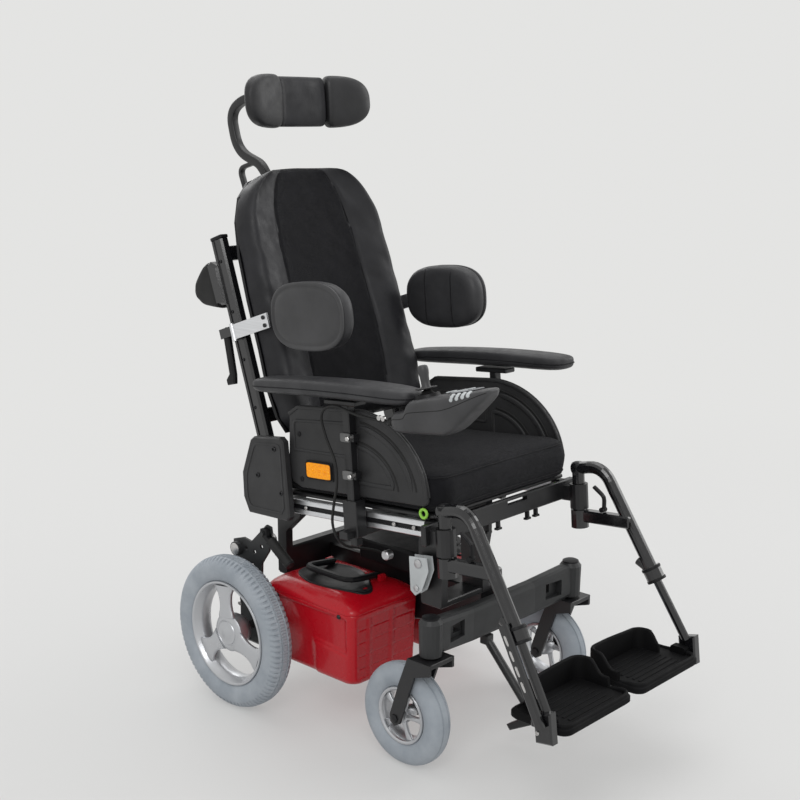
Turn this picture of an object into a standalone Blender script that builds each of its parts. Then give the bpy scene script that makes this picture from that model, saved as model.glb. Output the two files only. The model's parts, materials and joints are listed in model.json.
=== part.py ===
"""Power wheelchair: rear-wheel drive, recline back, swing-away leg rests, two battery boxes."""
import math

import bmesh
import bpy
from mathutils import Matrix, Vector

# Overall. The chair faces -Y, the user's right is -X, up is +Z, the floor is z = 0.
AXLE_Y = 0.2514              # drive axle, measured from the middle of the length
GAP = 0.0006                 # clearance between neighbouring pieces

# Drive wheels (12.5 x 2.25 inch)
DRIVE_R, DRIVE_W, DRIVE_X = 0.159, 0.057, 0.270
DRIVE_RIM_R, DRIVE_RIM_W = 0.109, 0.044
HUB_R, SPOKES = 0.030, 3

# Castors (8 x 2 inch)
CASTOR_R, CASTOR_W = 0.100, 0.048
CASTOR_RIM_R, CASTOR_RIM_W = 0.055, 0.036
STEM_X, STEM_Y = 0.214, -0.493
CASTOR_Y = -0.434
STEM_R, HOUSING_R = 0.008, 0.021
BEAM_Z0, BEAM_Z1, BEAM_T = 0.225, 0.298, 0.034

# Battery boxes
BOX_X0, BOX_X1, BOX_Y0, BOX_Y1, BOX_Z0, BOX_Z1 = 0.030, 0.226, -0.302, -0.042, 0.100, 0.284

# Seat unit, drawn level and tilted back about the rear end of its rails
SEAT_TILT, SEAT_Z = 4.5, 0.4257
RAIL_X, RAIL_W, RAIL_H, RAIL_L = 0.1905, 0.020, 0.030, 0.490
CUSHION_W, CUSHION_L, CUSHION_H = 0.392, 0.430, 0.076
PANEL_X, PANEL_T = 0.1985, 0.007
POST_X, POST_Y, POST_W = 0.2165, -0.3030, 0.018

# Back unit, drawn upright and leaned back about its pivot
BACK_LEAN, PIVOT_Y, PIVOT_Z = 18.5, -0.0410, 0.4737
TUBE_X, TUBE_Y, TUBE_W, TUBE_D = 0.184, 0.020, 0.021, 0.036
TUBE_TOP = 0.503
HEAD_PIVOT = (0, -0.0620, 0.7575)

# Leg rests: the hanger turns on an upright post at the front of each rail
LEG_X, LEG_Y = 0.202, -0.518
LEG_TUBE_R, LOWER_R = 0.0125, 0.0085
KNEE = (0.204, -0.571, 0.5205)
COLLAR = (0.2115, -0.691, 0.328)
ANKLE = (0.2205, -0.761, 0.213)
FOOT_X0, FOOT_X1, FOOT_Y0, FOOT_Y1, FOOT_Z = 0.010, 0.216, -0.800, -0.672, 0.180
FOOT_HINGE_Y, FOOT_HINGE_Z = -0.757, 0.199

MATERIALS = {
    "black_steel": ((0.018, 0.018, 0.020), 0.32, 0.55),
    "gloss_tube": ((0.012, 0.012, 0.013), 0.16, 0.40),
    "cast_grey": ((0.050, 0.051, 0.054), 0.50, 0.30),
    "aluminium": ((0.72, 0.73, 0.75), 0.28, 0.95),
    "silver_rim": ((0.66, 0.67, 0.69), 0.30, 0.75),
    "zinc": ((0.48, 0.49, 0.50), 0.35, 0.90),
    "red_shell": ((0.46, 0.004, 0.012), 0.16, 0.00),
    "grey_tyre": ((0.30, 0.335, 0.375), 0.75, 0.00),
    "grey_plastic": ((0.060, 0.061, 0.063), 0.55, 0.00),
    "pod_plastic": ((0.085, 0.086, 0.088), 0.48, 0.00),
    "black_plastic": ((0.014, 0.014, 0.015), 0.50, 0.00),
    "black_rubber": ((0.010, 0.010, 0.010), 0.70, 0.00),
    "seat_fabric": ((0.012, 0.012, 0.016), 0.90, 0.00),
    "dark_vinyl": ((0.032, 0.032, 0.034), 0.55, 0.00),
    "key_silicone": ((0.42, 0.43, 0.44), 0.45, 0.00),
}


def clear_scene():
    for ob in list(bpy.data.objects):
        bpy.data.objects.remove(ob, do_unlink=True)


def make_materials():
    for name, (rgb, rough, metal) in MATERIALS.items():
        mat = bpy.data.materials.new(name)
        mat.use_nodes = True
        shader = next(n for n in mat.node_tree.nodes if n.type == "BSDF_PRINCIPLED")
        shader.inputs["Base Color"].default_value = (*rgb, 1.0)
        shader.inputs["Roughness"].default_value = rough
        shader.inputs["Metallic"].default_value = metal


# ---------------------------------------------------------------- solids
def finish_mesh(bm, smooth=True):
    bmesh.ops.remove_doubles(bm, verts=bm.verts, dist=1e-6)
    bmesh.ops.recalc_face_normals(bm, faces=bm.faces)
    if bm.calc_volume(signed=True) < 0:
        bmesh.ops.reverse_faces(bm, faces=bm.faces)
    for face in bm.faces:
        face.smooth = smooth
    return bm


def block(size, at=(0, 0, 0), bevel=0.0, segments=1, turn=None):
    """A rectangular block, its edges rounded by bevel."""
    bm = bmesh.new()
    bmesh.ops.create_cube(bm, size=1.0)
    bmesh.ops.scale(bm, vec=size, verts=bm.verts)
    if bevel:
        bmesh.ops.bevel(bm, geom=bm.edges[:], offset=bevel, segments=segments, profile=0.5,
                        affect="EDGES", clamp_overlap=True)
    if turn:
        bm.transform(Matrix.Rotation(math.radians(turn[1]), 4, turn[0]))
    bmesh.ops.translate(bm, vec=at, verts=bm.verts)
    return finish_mesh(bm, smooth=False)


def prism(outline, x0, x1, bevel=0.0, segments=1):
    """A plate between x0 and x1 whose outline is drawn in (y, z)."""
    bm = bmesh.new()
    ring = [bm.verts.new((x0, y, z)) for y, z in outline]
    face = bm.faces.new(ring)
    out = bmesh.ops.extrude_face_region(bm, geom=[face])
    moved = [v for v in out["geom"] if isinstance(v, bmesh.types.BMVert)]
    bmesh.ops.translate(bm, vec=(x1 - x0, 0, 0), verts=moved)
    if bevel:
        rim = [e for e in bm.edges if abs(e.verts[0].co.x - e.verts[1].co.x) < 1e-9]
        bmesh.ops.bevel(bm, geom=rim, offset=bevel, segments=segments, profile=0.5,
                        affect="EDGES", clamp_overlap=True)
    return finish_mesh(bm, smooth=False)


def lathe(profile, steps, axis="X", at=(0, 0, 0)):
    """A closed (radius, along) profile turned about an axis through at."""
    bm = bmesh.new()
    rings = []
    for k in range(steps):
        t = 2 * math.pi * k / steps
        rings.append([bm.verts.new((a, r * math.cos(t), r * math.sin(t))) for r, a in profile])
    n = len(profile)
    for k in range(steps):
        a, b = rings[k], rings[(k + 1) % steps]
        for i in range(n):
            j = (i + 1) % n
            quad = [a[i], a[j], b[j], b[i]]
            bm.faces.new(quad)
    bmesh.ops.remove_doubles(bm, verts=bm.verts, dist=1e-7)
    bmesh.ops.dissolve_degenerate(bm, edges=bm.edges[:], dist=1e-7)
    turn = {"X": Matrix.Identity(4), "Y": Matrix.Rotation(math.pi / 2, 4, "Z"),
            "Z": Matrix.Rotation(-math.pi / 2, 4, "Y")}[axis]
    bm.transform(Matrix.Translation(at) @ turn)
    return finish_mesh(bm)


def rod(a, b, radius, steps=12, radius_b=None):
    """A solid round bar from a to b."""
    a, b = Vector(a), Vector(b)
    bm = bmesh.new()
    bmesh.ops.create_cone(bm, cap_ends=True, segments=steps, radius1=radius,
                          radius2=radius if radius_b is None else radius_b, depth=(b - a).length)
    turn = Vector((0, 0, 1)).rotation_difference((b - a).normalized()).to_matrix().to_4x4()
    bm.transform(Matrix.Translation((a + b) / 2) @ turn)
    for face in bm.faces:
        face.smooth = len(face.verts) == 4
    return bm


def rounded_path(points, radius, steps=5):
    """The corner points with each inner corner replaced by an arc."""
    pts = [Vector(p) for p in points]
    out = [pts[0]]
    for before, corner, after in zip(pts, pts[1:], pts[2:]):
        u, v = (before - corner).normalized(), (after - corner).normalized()
        half = u.angle(v) / 2
        cut = min(radius / math.tan(half), 0.48 * (before - corner).length, 0.48 * (after - corner).length)
        start, end = corner + u * cut, corner + v * cut
        for k in range(steps + 1):
            t = k / steps
            out.append(start * (1 - t) ** 2 + corner * 2 * t * (1 - t) + end * t ** 2)
    return out + [pts[-1]]


def sweep(points, section, up=(1, 0, 0)):
    """A solid bar whose (across, up) section follows the points; across stays near the given direction."""
    bm = bmesh.new()
    rings = []
    for i, p in enumerate(points):
        ahead = (points[min(i + 1, len(points) - 1)] - points[max(i - 1, 0)]).normalized()
        side = (Vector(up) - ahead * ahead.dot(Vector(up))).normalized()
        top = ahead.cross(side)
        rings.append([bm.verts.new(p + side * s + top * t) for s, t in section])
    n = len(section)
    for a, b in zip(rings, rings[1:]):
        for i in range(n):
            bm.faces.new([a[i], a[(i + 1) % n], b[(i + 1) % n], b[i]])
    bm.faces.new(rings[0][::-1])
    bm.faces.new(rings[-1])
    return finish_mesh(bm)


def circle_section(radius, steps=14):
    return [(radius * math.cos(2 * math.pi * k / steps), radius * math.sin(2 * math.pi * k / steps))
            for k in range(steps)]


def pill_section(width, depth, steps=5):
    """A flat bar section with round corners."""
    r = min(width, depth) * 0.30
    out = []
    for cx, cy, a0 in ((1, 1, 0), (-1, 1, 90), (-1, -1, 180), (1, -1, 270)):
        for k in range(steps):
            a = math.radians(a0 + 90 * k / (steps - 1))
            out.append((cx * (width / 2 - r) + r * math.cos(a), cy * (depth / 2 - r) + r * math.sin(a)))
    return out


def mirrored(bm, side):
    """The same solid on the user's left when side is +1; shapes are drawn at +X."""
    if side < 0:
        bmesh.ops.scale(bm, vec=(-1, 1, 1), verts=bm.verts)
        bmesh.ops.reverse_faces(bm, faces=bm.faces)
    return bm


def as_object(name, bm):
    mesh = bpy.data.meshes.new(name)
    bm.to_mesh(mesh)
    bm.free()
    ob = bpy.data.objects.new(name, mesh)
    bpy.context.scene.collection.objects.link(ob)
    return ob


def combine(base, others, operation):
    """Joins (UNION) or cuts (DIFFERENCE) the other solids with the base solid, and returns one bmesh."""
    body = as_object("tmp_body", base)
    tools = [as_object("tmp_tool", bm) for bm in others]
    for tool in tools:
        mod = body.modifiers.new("join", "BOOLEAN")
        mod.operation, mod.solver, mod.object = operation, "EXACT", tool
    bpy.context.view_layer.update()
    graph = bpy.context.evaluated_depsgraph_get()
    mesh = bpy.data.meshes.new_from_object(body.evaluated_get(graph))
    bm = bmesh.new()
    bm.from_mesh(mesh)
    for ob in [body] + tools:
        bpy.data.objects.remove(ob, do_unlink=True)
    bpy.data.meshes.remove(mesh)
    bmesh.ops.remove_doubles(bm, verts=bm.verts, dist=1e-6)
    bmesh.ops.dissolve_degenerate(bm, edges=bm.edges[:], dist=1e-6)
    return bm


def joined(*solids):
    return combine(solids[0], solids[1:], "UNION")


def cut(base, *holes):
    return combine(base, holes, "DIFFERENCE")


def place(name, bm, material, parent, origin=(0, 0, 0)):
    """Adds the solid as a named node under its parent, with its own origin on its joint."""
    bmesh.ops.translate(bm, vec=-Vector(origin), verts=bm.verts)
    ob = as_object(name, bm)
    ob.data.materials.append(bpy.data.materials[material])
    ob.parent = parent
    ob.location = origin
    return ob


def empty(name, at, parent=None, tilt=0.0):
    ob = bpy.data.objects.new(name, None)
    bpy.context.scene.collection.objects.link(ob)
    ob.location = at
    ob.rotation_euler = (math.radians(-tilt), 0, 0)
    ob.parent = parent
    return ob


def tag(side):
    return "R" if side < 0 else "L"


# ---------------------------------------------------------------- base
def build_chassis(root):
    """Central spine with the rear axle tube and the front and rear seat uprights, welded in one piece."""
    parts = [prism([(-0.455, 0.222), (-0.455, 0.296), (0.025, 0.296), (0.025, 0.160), (-0.130, 0.160)],
                   -0.023, 0.023, 0.003),
             block((0.162, 0.050, 0.012), (-0.069, -0.436, 0.299), 0.002),
             block((0.300, 0.026, 0.060), (0, -0.018, 0.285), 0.003)]
    for x in (-0.150, -0.030):
        parts.append(prism([(-0.462, 0.297), (-0.411, 0.297), (-0.404, 0.400), (-0.404, 0.4755),
                            (-0.468, 0.4806), (-0.468, 0.415), (-0.462, 0.380)], x, x + 0.018))
    for s in (-1, 1):
        parts.append(prism([(-0.031, 0.260), (-0.005, 0.260), (-0.005, 0.4442), (-0.075, 0.4497),
                            (-0.075, 0.392), (-0.031, 0.352)], s * 0.132, s * 0.150))
    place("chassis_frame", joined(*parts), "black_steel", root)
    place("controller_box", block((0.112, 0.170, 0.048), (0, -0.235, 0.3206), 0.006, 2), "black_plastic", root)


def build_front_beam(root):
    """Cast cross beam with a bored housing for the castor stem at each end and a pocket beside it."""
    path = [Vector(p) for p in ((-STEM_X, STEM_Y, 0.2685), (-0.095, -0.480, 0.2555), (0.095, -0.480, 0.2555),
                                (STEM_X, STEM_Y, 0.2685))]
    beam = [sweep(path, pill_section(0.068, 0.030, 3), up=(0, 0, 1))]
    holes = []
    for s in (-1, 1):
        beam.append(lathe([(0, 0.233), (HOUSING_R, 0.233), (HOUSING_R + 0.0015, 0.296), (HOUSING_R - 0.004, 0.3035),
                           (0, 0.3035)], 16, "Z", (s * STEM_X, STEM_Y, 0)))
        holes.append(lathe([(0, 0.220), (STEM_R + 0.0004, 0.220), (STEM_R + 0.0004, 0.292), (0, 0.292)],
                           12, "Z", (s * STEM_X, STEM_Y, 0)))
        holes.append(block((0.046, 0.020, 0.032), (s * 0.148, -0.499, 0.262)))
        holes.append(block((0.020, 0.060, 0.020), (s * 0.138, -0.484, 0.264)))
    place("front_beam", cut(joined(*beam), *holes), "cast_grey", root)


def build_battery_box(root, side):
    """Moulded red case, narrower at the bottom, with two pivot ears for its carry handle."""
    size = Vector((BOX_X1 - BOX_X0, BOX_Y1 - BOX_Y0, BOX_Z1 - BOX_Z0))
    mid = Vector((BOX_X0 + BOX_X1, BOX_Y0 + BOX_Y1, BOX_Z0 + BOX_Z1)) / 2
    case = block(size, mid, 0.020, 3)
    for v in case.verts:
        low = (BOX_Z1 - v.co.z) / size.z
        v.co.x -= 0.014 * low * (v.co.x - BOX_X0) / size.x
        v.co.y += 0.012 * low * (BOX_Y1 - v.co.y) / size.y
    ears = [block((0.016, 0.008, 0.018), (0.092, y, BOX_Z1 + 0.004)) for y in (-0.2508, -0.0992)]
    name = tag(side)
    place(f"battery_box_{name}", mirrored(joined(case, *ears), side), "red_shell", root)
    pivot = (side * 0.092, -0.175, BOX_Z1 + 0.0065)
    path = rounded_path([(0.092, -0.2382, pivot[2]), (0.092, -0.2382, pivot[2] + 0.001), (0.172, -0.2382, 0.301),
                         (0.172, -0.1118, 0.301), (0.092, -0.1118, pivot[2] + 0.001), (0.092, -0.1118, pivot[2])],
                        0.024, 3)
    bail = sweep(path[1:-1], pill_section(0.011, 0.014, 2), up=(0, 0, 1))
    place(f"battery_handle_{name}", mirrored(bail, side), "black_plastic", root, pivot)


def build_motor(root, side):
    """Motor and gearbox with the drive axle, and the perforated bracket of the freewheel lever."""
    gearbox = block((0.056, 0.080, 0.092), (0.194, 0.004, 0.160), 0.008)
    motor = rod((0.040, 0.008, 0.162), (0.170, 0.008, 0.162), 0.036, 18)
    axle = rod((0.220, 0, DRIVE_R), (0.2645, 0, DRIVE_R), 0.0085)
    bracket = prism([(-0.030, 0.190), (0.034, 0.190), (0.052, 0.300), (0.052, 0.334), (0.020, 0.344), (-0.004, 0.340),
                     (-0.040, 0.374), (-0.052, 0.386), (-0.066, 0.384), (-0.070, 0.362), (-0.058, 0.330),
                     (-0.036, 0.300)], 0.2175, 0.2225)
    brake = rod((0.2000, 0.036, 0.318), (0.2330, 0.036, 0.318), 0.015, 14)
    holes = [rod((0.20, y, z), (0.24, y, z), 0.0048, 8)
             for y, z in ((0.012, 0.322), (-0.014, 0.320), (-0.036, 0.336), (-0.006, 0.290), (-0.020, 0.262),
                          (0.014, 0.262))]
    pin = rod((0.2200, -0.056, 0.372), (0.2390, -0.056, 0.372), 0.0045)
    solid = joined(cut(bracket, *holes), gearbox, motor, axle, brake, pin)
    name = tag(side)
    place(f"motor_{name}", mirrored(solid, side), "cast_grey", root)
    lever = joined(prism([(-0.066, 0.366), (-0.066, 0.380), (-0.058, 0.3835), (-0.047, 0.380), (-0.045, 0.370),
                          (-0.080, 0.345), (-0.088, 0.356)], 0.2245, 0.2345, 0.001),
                   rod((0.2295, -0.078, 0.3565), (0.2295, -0.132, 0.3200), 0.0100))
    lever = cut(lever, rod((0.215, -0.056, 0.372), (0.245, -0.056, 0.372), 0.0048))
    place(f"freewheel_lever_{name}", mirrored(lever, side), "black_plastic", root, (side * 0.2295, -0.056, 0.372))


def tyre_profile(radius, width, rim_radius, rim_width):
    """Round tread with flat shoulders, closed over the rim bed."""
    w, h = width / 2, radius - rim_radius
    crown = [(radius - h * 0.36 + h * 0.36 * math.cos(a), w * math.sin(a))
             for a in (math.radians(d) for d in (-80, -42, 0, 42, 80))]
    bead = rim_width / 2 - 0.003
    return [(rim_radius + GAP, -bead), (rim_radius + 0.010, -bead - 0.004)] + crown + \
           [(rim_radius + 0.010, bead + 0.004), (rim_radius + GAP, bead)]


def rim_solid(radius, width, hub_r, hub_x0, hub_x1, bore_r, bore_x1, spokes, spoke_w, dish):
    """Rim ring, hub and broad spokes, with the outer face on +X."""
    w = width / 2
    ring = lathe([(radius, -w), (radius, w), (radius - 0.006, w + 0.002), (radius - 0.016, w - 0.004),
                  (radius - 0.018, -w + 0.006), (radius - 0.006, -w)], 36)
    hub = lathe([(0, hub_x0), (hub_r * 0.8, hub_x0), (hub_r, dish - 0.004), (hub_r * 0.94, hub_x1 - 0.003),
                 (hub_r * 0.8, hub_x1), (0, hub_x1)], 16)
    arms = []
    for k in range(spokes):
        arm = block((0.010, spoke_w, radius - 0.012), (dish, 0, (radius - 0.012) / 2 + 0.004))
        arm.transform(Matrix.Rotation(2 * math.pi * k / spokes, 4, "X"))
        arms.append(arm)
    solid = joined(ring, hub, *arms)
    return cut(solid, rod((hub_x0 - 0.01, 0, 0), (bore_x1, 0, 0), bore_r))


def build_drive_wheel(root, side):
    name, centre = tag(side), (side * DRIVE_X, 0, DRIVE_R)
    hub = empty(f"drive_hub_{name}", centre, root)
    tyre = lathe(tyre_profile(DRIVE_R, DRIVE_W, DRIVE_RIM_R, DRIVE_RIM_W), 40)
    rim = rim_solid(DRIVE_RIM_R, DRIVE_RIM_W, HUB_R, -0.026, 0.021, 0.0089, -0.0045, SPOKES, 0.050, 0.008)
    place(f"drive_tyre_{name}", tyre, "grey_tyre", hub)
    place(f"drive_rim_{name}", mirrored(rim, side), "silver_rim", hub)


def build_castor(root, side):
    name = tag(side)
    leg = [(-0.5205, 0.2288), (-0.4660, 0.2288), (-0.4450, 0.1750), (-0.4225, 0.1080), (-0.4230, 0.0920),
           (-0.4340, 0.0850), (-0.4460, 0.0920), (-0.4680, 0.1560), (-0.4830, 0.1960), (-0.5205, 0.2080)]
    parts = [block((0.068, 0.0545, 0.0090), (0, -0.49325, 0.2243), 0.001),
             prism(leg, 0.0285, 0.0340), prism(leg, -0.0340, -0.0285),
             rod((0, STEM_Y, 0.2250), (0, STEM_Y, 0.2890), STEM_R),
             rod((-0.0370, CASTOR_Y, CASTOR_R), (0.0370, CASTOR_Y, CASTOR_R), 0.0050, 12)]
    fork = joined(*parts)
    bmesh.ops.translate(fork, vec=(side * STEM_X, 0, 0), verts=fork.verts)
    place(f"castor_fork_{name}", fork, "black_steel", root, (side * STEM_X, STEM_Y, 0.2600))
    hub = empty(f"castor_hub_{name}", (side * STEM_X, CASTOR_Y, CASTOR_R), root)
    tyre = lathe(tyre_profile(CASTOR_R, CASTOR_W, CASTOR_RIM_R, CASTOR_RIM_W), 32)
    rim = rim_solid(CASTOR_RIM_R, CASTOR_RIM_W, 0.016, -0.025, 0.025, 0.0053, 0.03, 4, 0.014, 0.0)
    place(f"castor_tyre_{name}", tyre, "grey_tyre", hub)
    place(f"castor_rim_{name}", rim, "silver_rim", hub)


def build_kerb_climber(root):
    """Sprung arm below the beam whose foot pushes the castors up over a kerb."""
    arm = joined(block((0.020, 0.020, 0.020), (0, 0, 0), 0.002),
                 rod((0, 0, 0), (0, -0.118, -0.126), 0.0085, 14),
                 prism([(-0.066, -0.168), (-0.058, -0.158), (-0.112, -0.122), (-0.138, -0.100), (-0.148, -0.108),
                        (-0.140, -0.128)], -0.009, 0.009, 0.002))
    bmesh.ops.translate(arm, vec=(-0.030, -0.474, 0.2040), verts=arm.verts)
    place("kerb_climber", arm, "black_steel", root, (-0.030, -0.474, 0.2040))


# ---------------------------------------------------------------- seat
def shell_panel(rows, back, front, columns=8, flip=None):
    """A closed curved panel. rows are (z, half width); back and front give y for a share -1..1 across and a row."""
    bm = bmesh.new()
    layers = []
    for surface in (back, front):
        layers.append([[bm.verts.new((w * c, surface(c, k / (len(rows) - 1)), z))
                        for c in (2 * i / columns - 1 for i in range(columns + 1))]
                       for k, (z, w) in enumerate(rows)])
    last_row, last_col = len(rows) - 1, columns
    for grid in layers:
        for k in range(last_row):
            for i in range(last_col):
                bm.faces.new([grid[k][i], grid[k][i + 1], grid[k + 1][i + 1], grid[k + 1][i]])
    b, f = layers
    for k in range(last_row):
        for i in (0, last_col):
            bm.faces.new([b[k][i], b[k + 1][i], f[k + 1][i], f[k][i]])
    for i in range(last_col):
        for k in (0, last_row):
            bm.faces.new([b[k][i], b[k][i + 1], f[k][i + 1], f[k][i]])
    if flip:
        bm.transform(Matrix.Rotation(math.radians(flip[1]), 4, flip[0]))
    return finish_mesh(bm)


def build_seat(seat):
    rail_y = -0.030 - RAIL_L / 2 + 0.022
    for side in (-1, 1):
        rail = cut(block((RAIL_W, RAIL_L - 0.044, RAIL_H), (RAIL_X, rail_y, 0), 0.0015),
                   block((0.012, RAIL_L, 0.010), (RAIL_X + 0.009, rail_y, 0)))
        place(f"seat_rail_{tag(side)}", mirrored(rail, side), "aluminium", seat)
    place("seat_pan", block((0.388, 0.412, 0.008), (0, -0.280, 0.0240), 0.002), "black_steel", seat)
    cushion = block((CUSHION_W, CUSHION_L, CUSHION_H), (0, -0.499 + CUSHION_L / 2, 0.0290 + CUSHION_H / 2), 0.022, 3)
    place("seat_cushion", cushion, "seat_fabric", seat)


def build_front_rail(seat):
    """Cross rail with hooks below, a slot, and a sleeve at each end for the leg rest post."""
    solids = [block((0.4520, 0.012, 0.038), (0, -0.4845, -0.0040), 0.002)]
    for x in (-0.045, -0.015, 0.075, 0.102):
        solids += [block((0.005, 0.008, 0.018), (x, -0.4845, -0.030)),
                   block((0.014, 0.008, 0.004), (x, -0.4845, -0.038))]
    holes = [block((0.060, 0.030, 0.008), (0.040, -0.4845, 0.006))]
    for s in (-1, 1):
        solids.append(block((0.026, 0.030, 0.030), (s * LEG_X, -0.4960, -0.0100)))
        solids.append(rod((s * LEG_X, LEG_Y, -0.040), (s * LEG_X, LEG_Y, 0.010), 0.0185, 14))
        holes.append(rod((s * LEG_X, LEG_Y, -0.080), (s * LEG_X, LEG_Y, 0.050), LEG_TUBE_R + GAP, 14))
    place("front_cross_rail", cut(joined(*solids), *holes), "black_steel", seat)


def build_arm_receiver(seat):
    """Bar under the seat with an upright square socket at each end for the arm posts."""
    solids = [block((0.5000, 0.022, 0.014), (0, POST_Y, -0.0240), 0.001)]
    holes = []
    for s in (-1, 1):
        solids.append(block((POST_W + 0.0094, POST_W + 0.018, 0.070), (s * POST_X, POST_Y, 0.0040), 0.0015))
        holes.append(block((POST_W + 0.0012, POST_W + 0.0012, 0.120), (s * POST_X, POST_Y, 0.0115)))
    place("arm_receiver", cut(joined(*solids), *holes), "black_steel", seat)


def build_hinge_cover(seat, side):
    """Boxy moulded cover at the rear end of the rail, over the recline hinge."""
    outline = [(-0.126, -0.018), (-0.118, -0.026), (-0.002, -0.022), (0.012, 0.010), (0.010, 0.062),
               (-0.022, 0.130), (-0.034, 0.138), (-0.112, 0.142), (-0.122, 0.134)]
    cover = prism(outline, 0.2080, 0.2260, 0.003, 1)
    lug = block((0.0270, 0.050, 0.030), (0.1960, -0.0044, 0.0010))
    pin = rod((0.1770, -0.0447, 0.0446), (0.2150, -0.0447, 0.0446), 0.0060)
    place(f"hinge_cover_{tag(side)}", mirrored(joined(cover, lug, pin), side), "grey_plastic", seat)


# ---------------------------------------------------------------- armrests
def panel_outline():
    """Straight top and rear edge, quarter-ellipse front edge down to a low nose."""
    arc = [(-0.300 - 0.182 * math.sin(a), 0.055 + 0.155 * math.cos(a))
           for a in (math.radians(10 * k) for k in range(1, 10))]
    return [(-0.150, 0.206), (-0.300, 0.210)] + arc + [(-0.480, 0.049), (-0.470, 0.044), (-0.146, 0.042),
                                                       (-0.121, 0.052), (-0.112, 0.078), (-0.124, 0.188)]


def build_armrest(seat, side):
    name = tag(side)
    base = (side * POST_X, POST_Y, 0.050)
    frame = empty(f"armrest_{name}", base, seat)

    def add(node, bm, material):
        bmesh.ops.translate(bm, vec=-Vector((POST_X, *base[1:])), verts=bm.verts)
        place(f"{node}_{name}", mirrored(bm, side), material, frame)

    post = [block((POST_W, POST_W, 0.276), (POST_X, POST_Y, 0.0880), 0.002),
            block((0.030, 0.084, 0.010), (POST_X + 0.004, -0.300, 0.2264), 0.002)]
    post += [block((0.014, 0.016, 0.014), (POST_X + 0.003, POST_Y - 0.0125, z)) for z in (0.088, 0.160)]
    add("arm_post", joined(*post), "black_steel")
    panel = joined(prism(panel_outline(), PANEL_X, PANEL_X + PANEL_T, 0.002, 1),
                   block((0.009, 0.074, 0.035), (PANEL_X + 0.0055, -0.2030, 0.0820)))
    add("side_panel", panel, "grey_plastic")
    pad_rows = [(-0.488, 0.014), (-0.482, 0.026), (-0.446, 0.033), (-0.380, 0.034), (-0.240, 0.030),
                (-0.110, 0.026), (-0.074, 0.022), (-0.064, 0.012)]
    pad = bmesh.new()
    rings = []
    for y, w in pad_rows:
        high, low = (0.0200, 0.0170) if w > 0.023 else (0.0120, 0.0120)
        rings.append([pad.verts.new((0.2260 + w * a, y, 0.2495 + (high if b > 0 else low) * b))
                      for a, b in ((-1, -0.1), (-0.86, 0.7), (-0.45, 1.0), (0.45, 1.0), (0.86, 0.7), (1, -0.1),
                                   (0.8, -0.9), (-0.8, -0.9))])
    for a, b in zip(rings, rings[1:]):
        for i in range(8):
            pad.faces.new([a[i], a[(i + 1) % 8], b[(i + 1) % 8], b[i]])
    pad.faces.new(rings[0][::-1])
    pad.faces.new(rings[-1])
    add("arm_pad", finish_mesh(pad), "dark_vinyl")
    return frame


def build_joystick(root):
    """Control pod ahead of the right arm pad: gimbal, stick and power button in their own recesses."""
    centre = Vector((-0.226, -0.494, 0.7140))
    pod_frame = empty("joystick_pod_frame", centre, root)
    slope = 14.0
    outline = [(0.0240, -0.0060), (0.0265, -0.0240), (0.0560, -0.0280), (0.0650, -0.0400), (0.0650, -0.0620),
               (0.0560, -0.0680), (-0.0050, -0.0620), (-0.0600, -0.0550), (-0.0740, -0.0460), (-0.1400, 0.0180),
               (-0.1480, 0.0320), (-0.1400, 0.0400), (-0.1160, 0.0350)]
    top = Vector((0, 0.000, 0.0025))
    tip = Matrix.Rotation(math.radians(-slope), 4, "X")

    def tilted(bm):
        bm.transform(Matrix.Translation(top) @ tip)
        return bm

    pod = prism(outline, -0.033, 0.033, 0.007, 1)
    collar = tilted(lathe([(0, -0.012), (0.022, -0.012), (0.022, 0.004), (0.020, 0.006), (0, 0.006)], 18, "Z"))
    well = tilted(lathe([(0, -0.016), (0.0165, -0.016), (0.0165, 0.02), (0, 0.02)], 18, "Z"))
    button_at = Matrix.Translation(top) @ tip @ Vector((0.010, -0.078, 0))
    up = (tip @ Vector((0, 0, 1))).normalized()
    hole = rod(button_at - up * 0.0055, button_at + up * 0.0165, 0.0064)
    neck = rod((0, 0.050, -0.0465), (0, 0.130, -0.0480), 0.0085)
    clamp = block((0.024, 0.026, 0.0220), (0.003, 0.094, -0.0480), 0.002)
    pod = cut(joined(pod, collar, neck, clamp), well, hole)
    place("joystick_pod", pod, "pod_plastic", pod_frame)
    gimbal = tilted(lathe([(0.0062, -0.0075), (0.0115, -0.0075), (0.0115, -0.0035), (0.0062, -0.0035)], 14, "Z"))
    pivot = Matrix.Translation(top) @ tip @ Vector((0, 0, -0.0055))
    place("joystick_gimbal", gimbal, "zinc", pod_frame, pivot)
    stick = tilted(lathe([(0, -0.0105), (0.0036, -0.0105), (0.0036, 0.024), (0.0085, 0.028), (0.0105, 0.038),
                          (0.0100, 0.050), (0.0060, 0.0555), (0, 0.0560)], 14, "Z"))
    place("joystick_stick", stick, "black_rubber", pod_frame, pivot)
    key = rod(button_at - up * 0.0035, button_at + up * 0.0040, 0.0058)
    place("power_button", key, "key_silicone", pod_frame, button_at)


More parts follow.
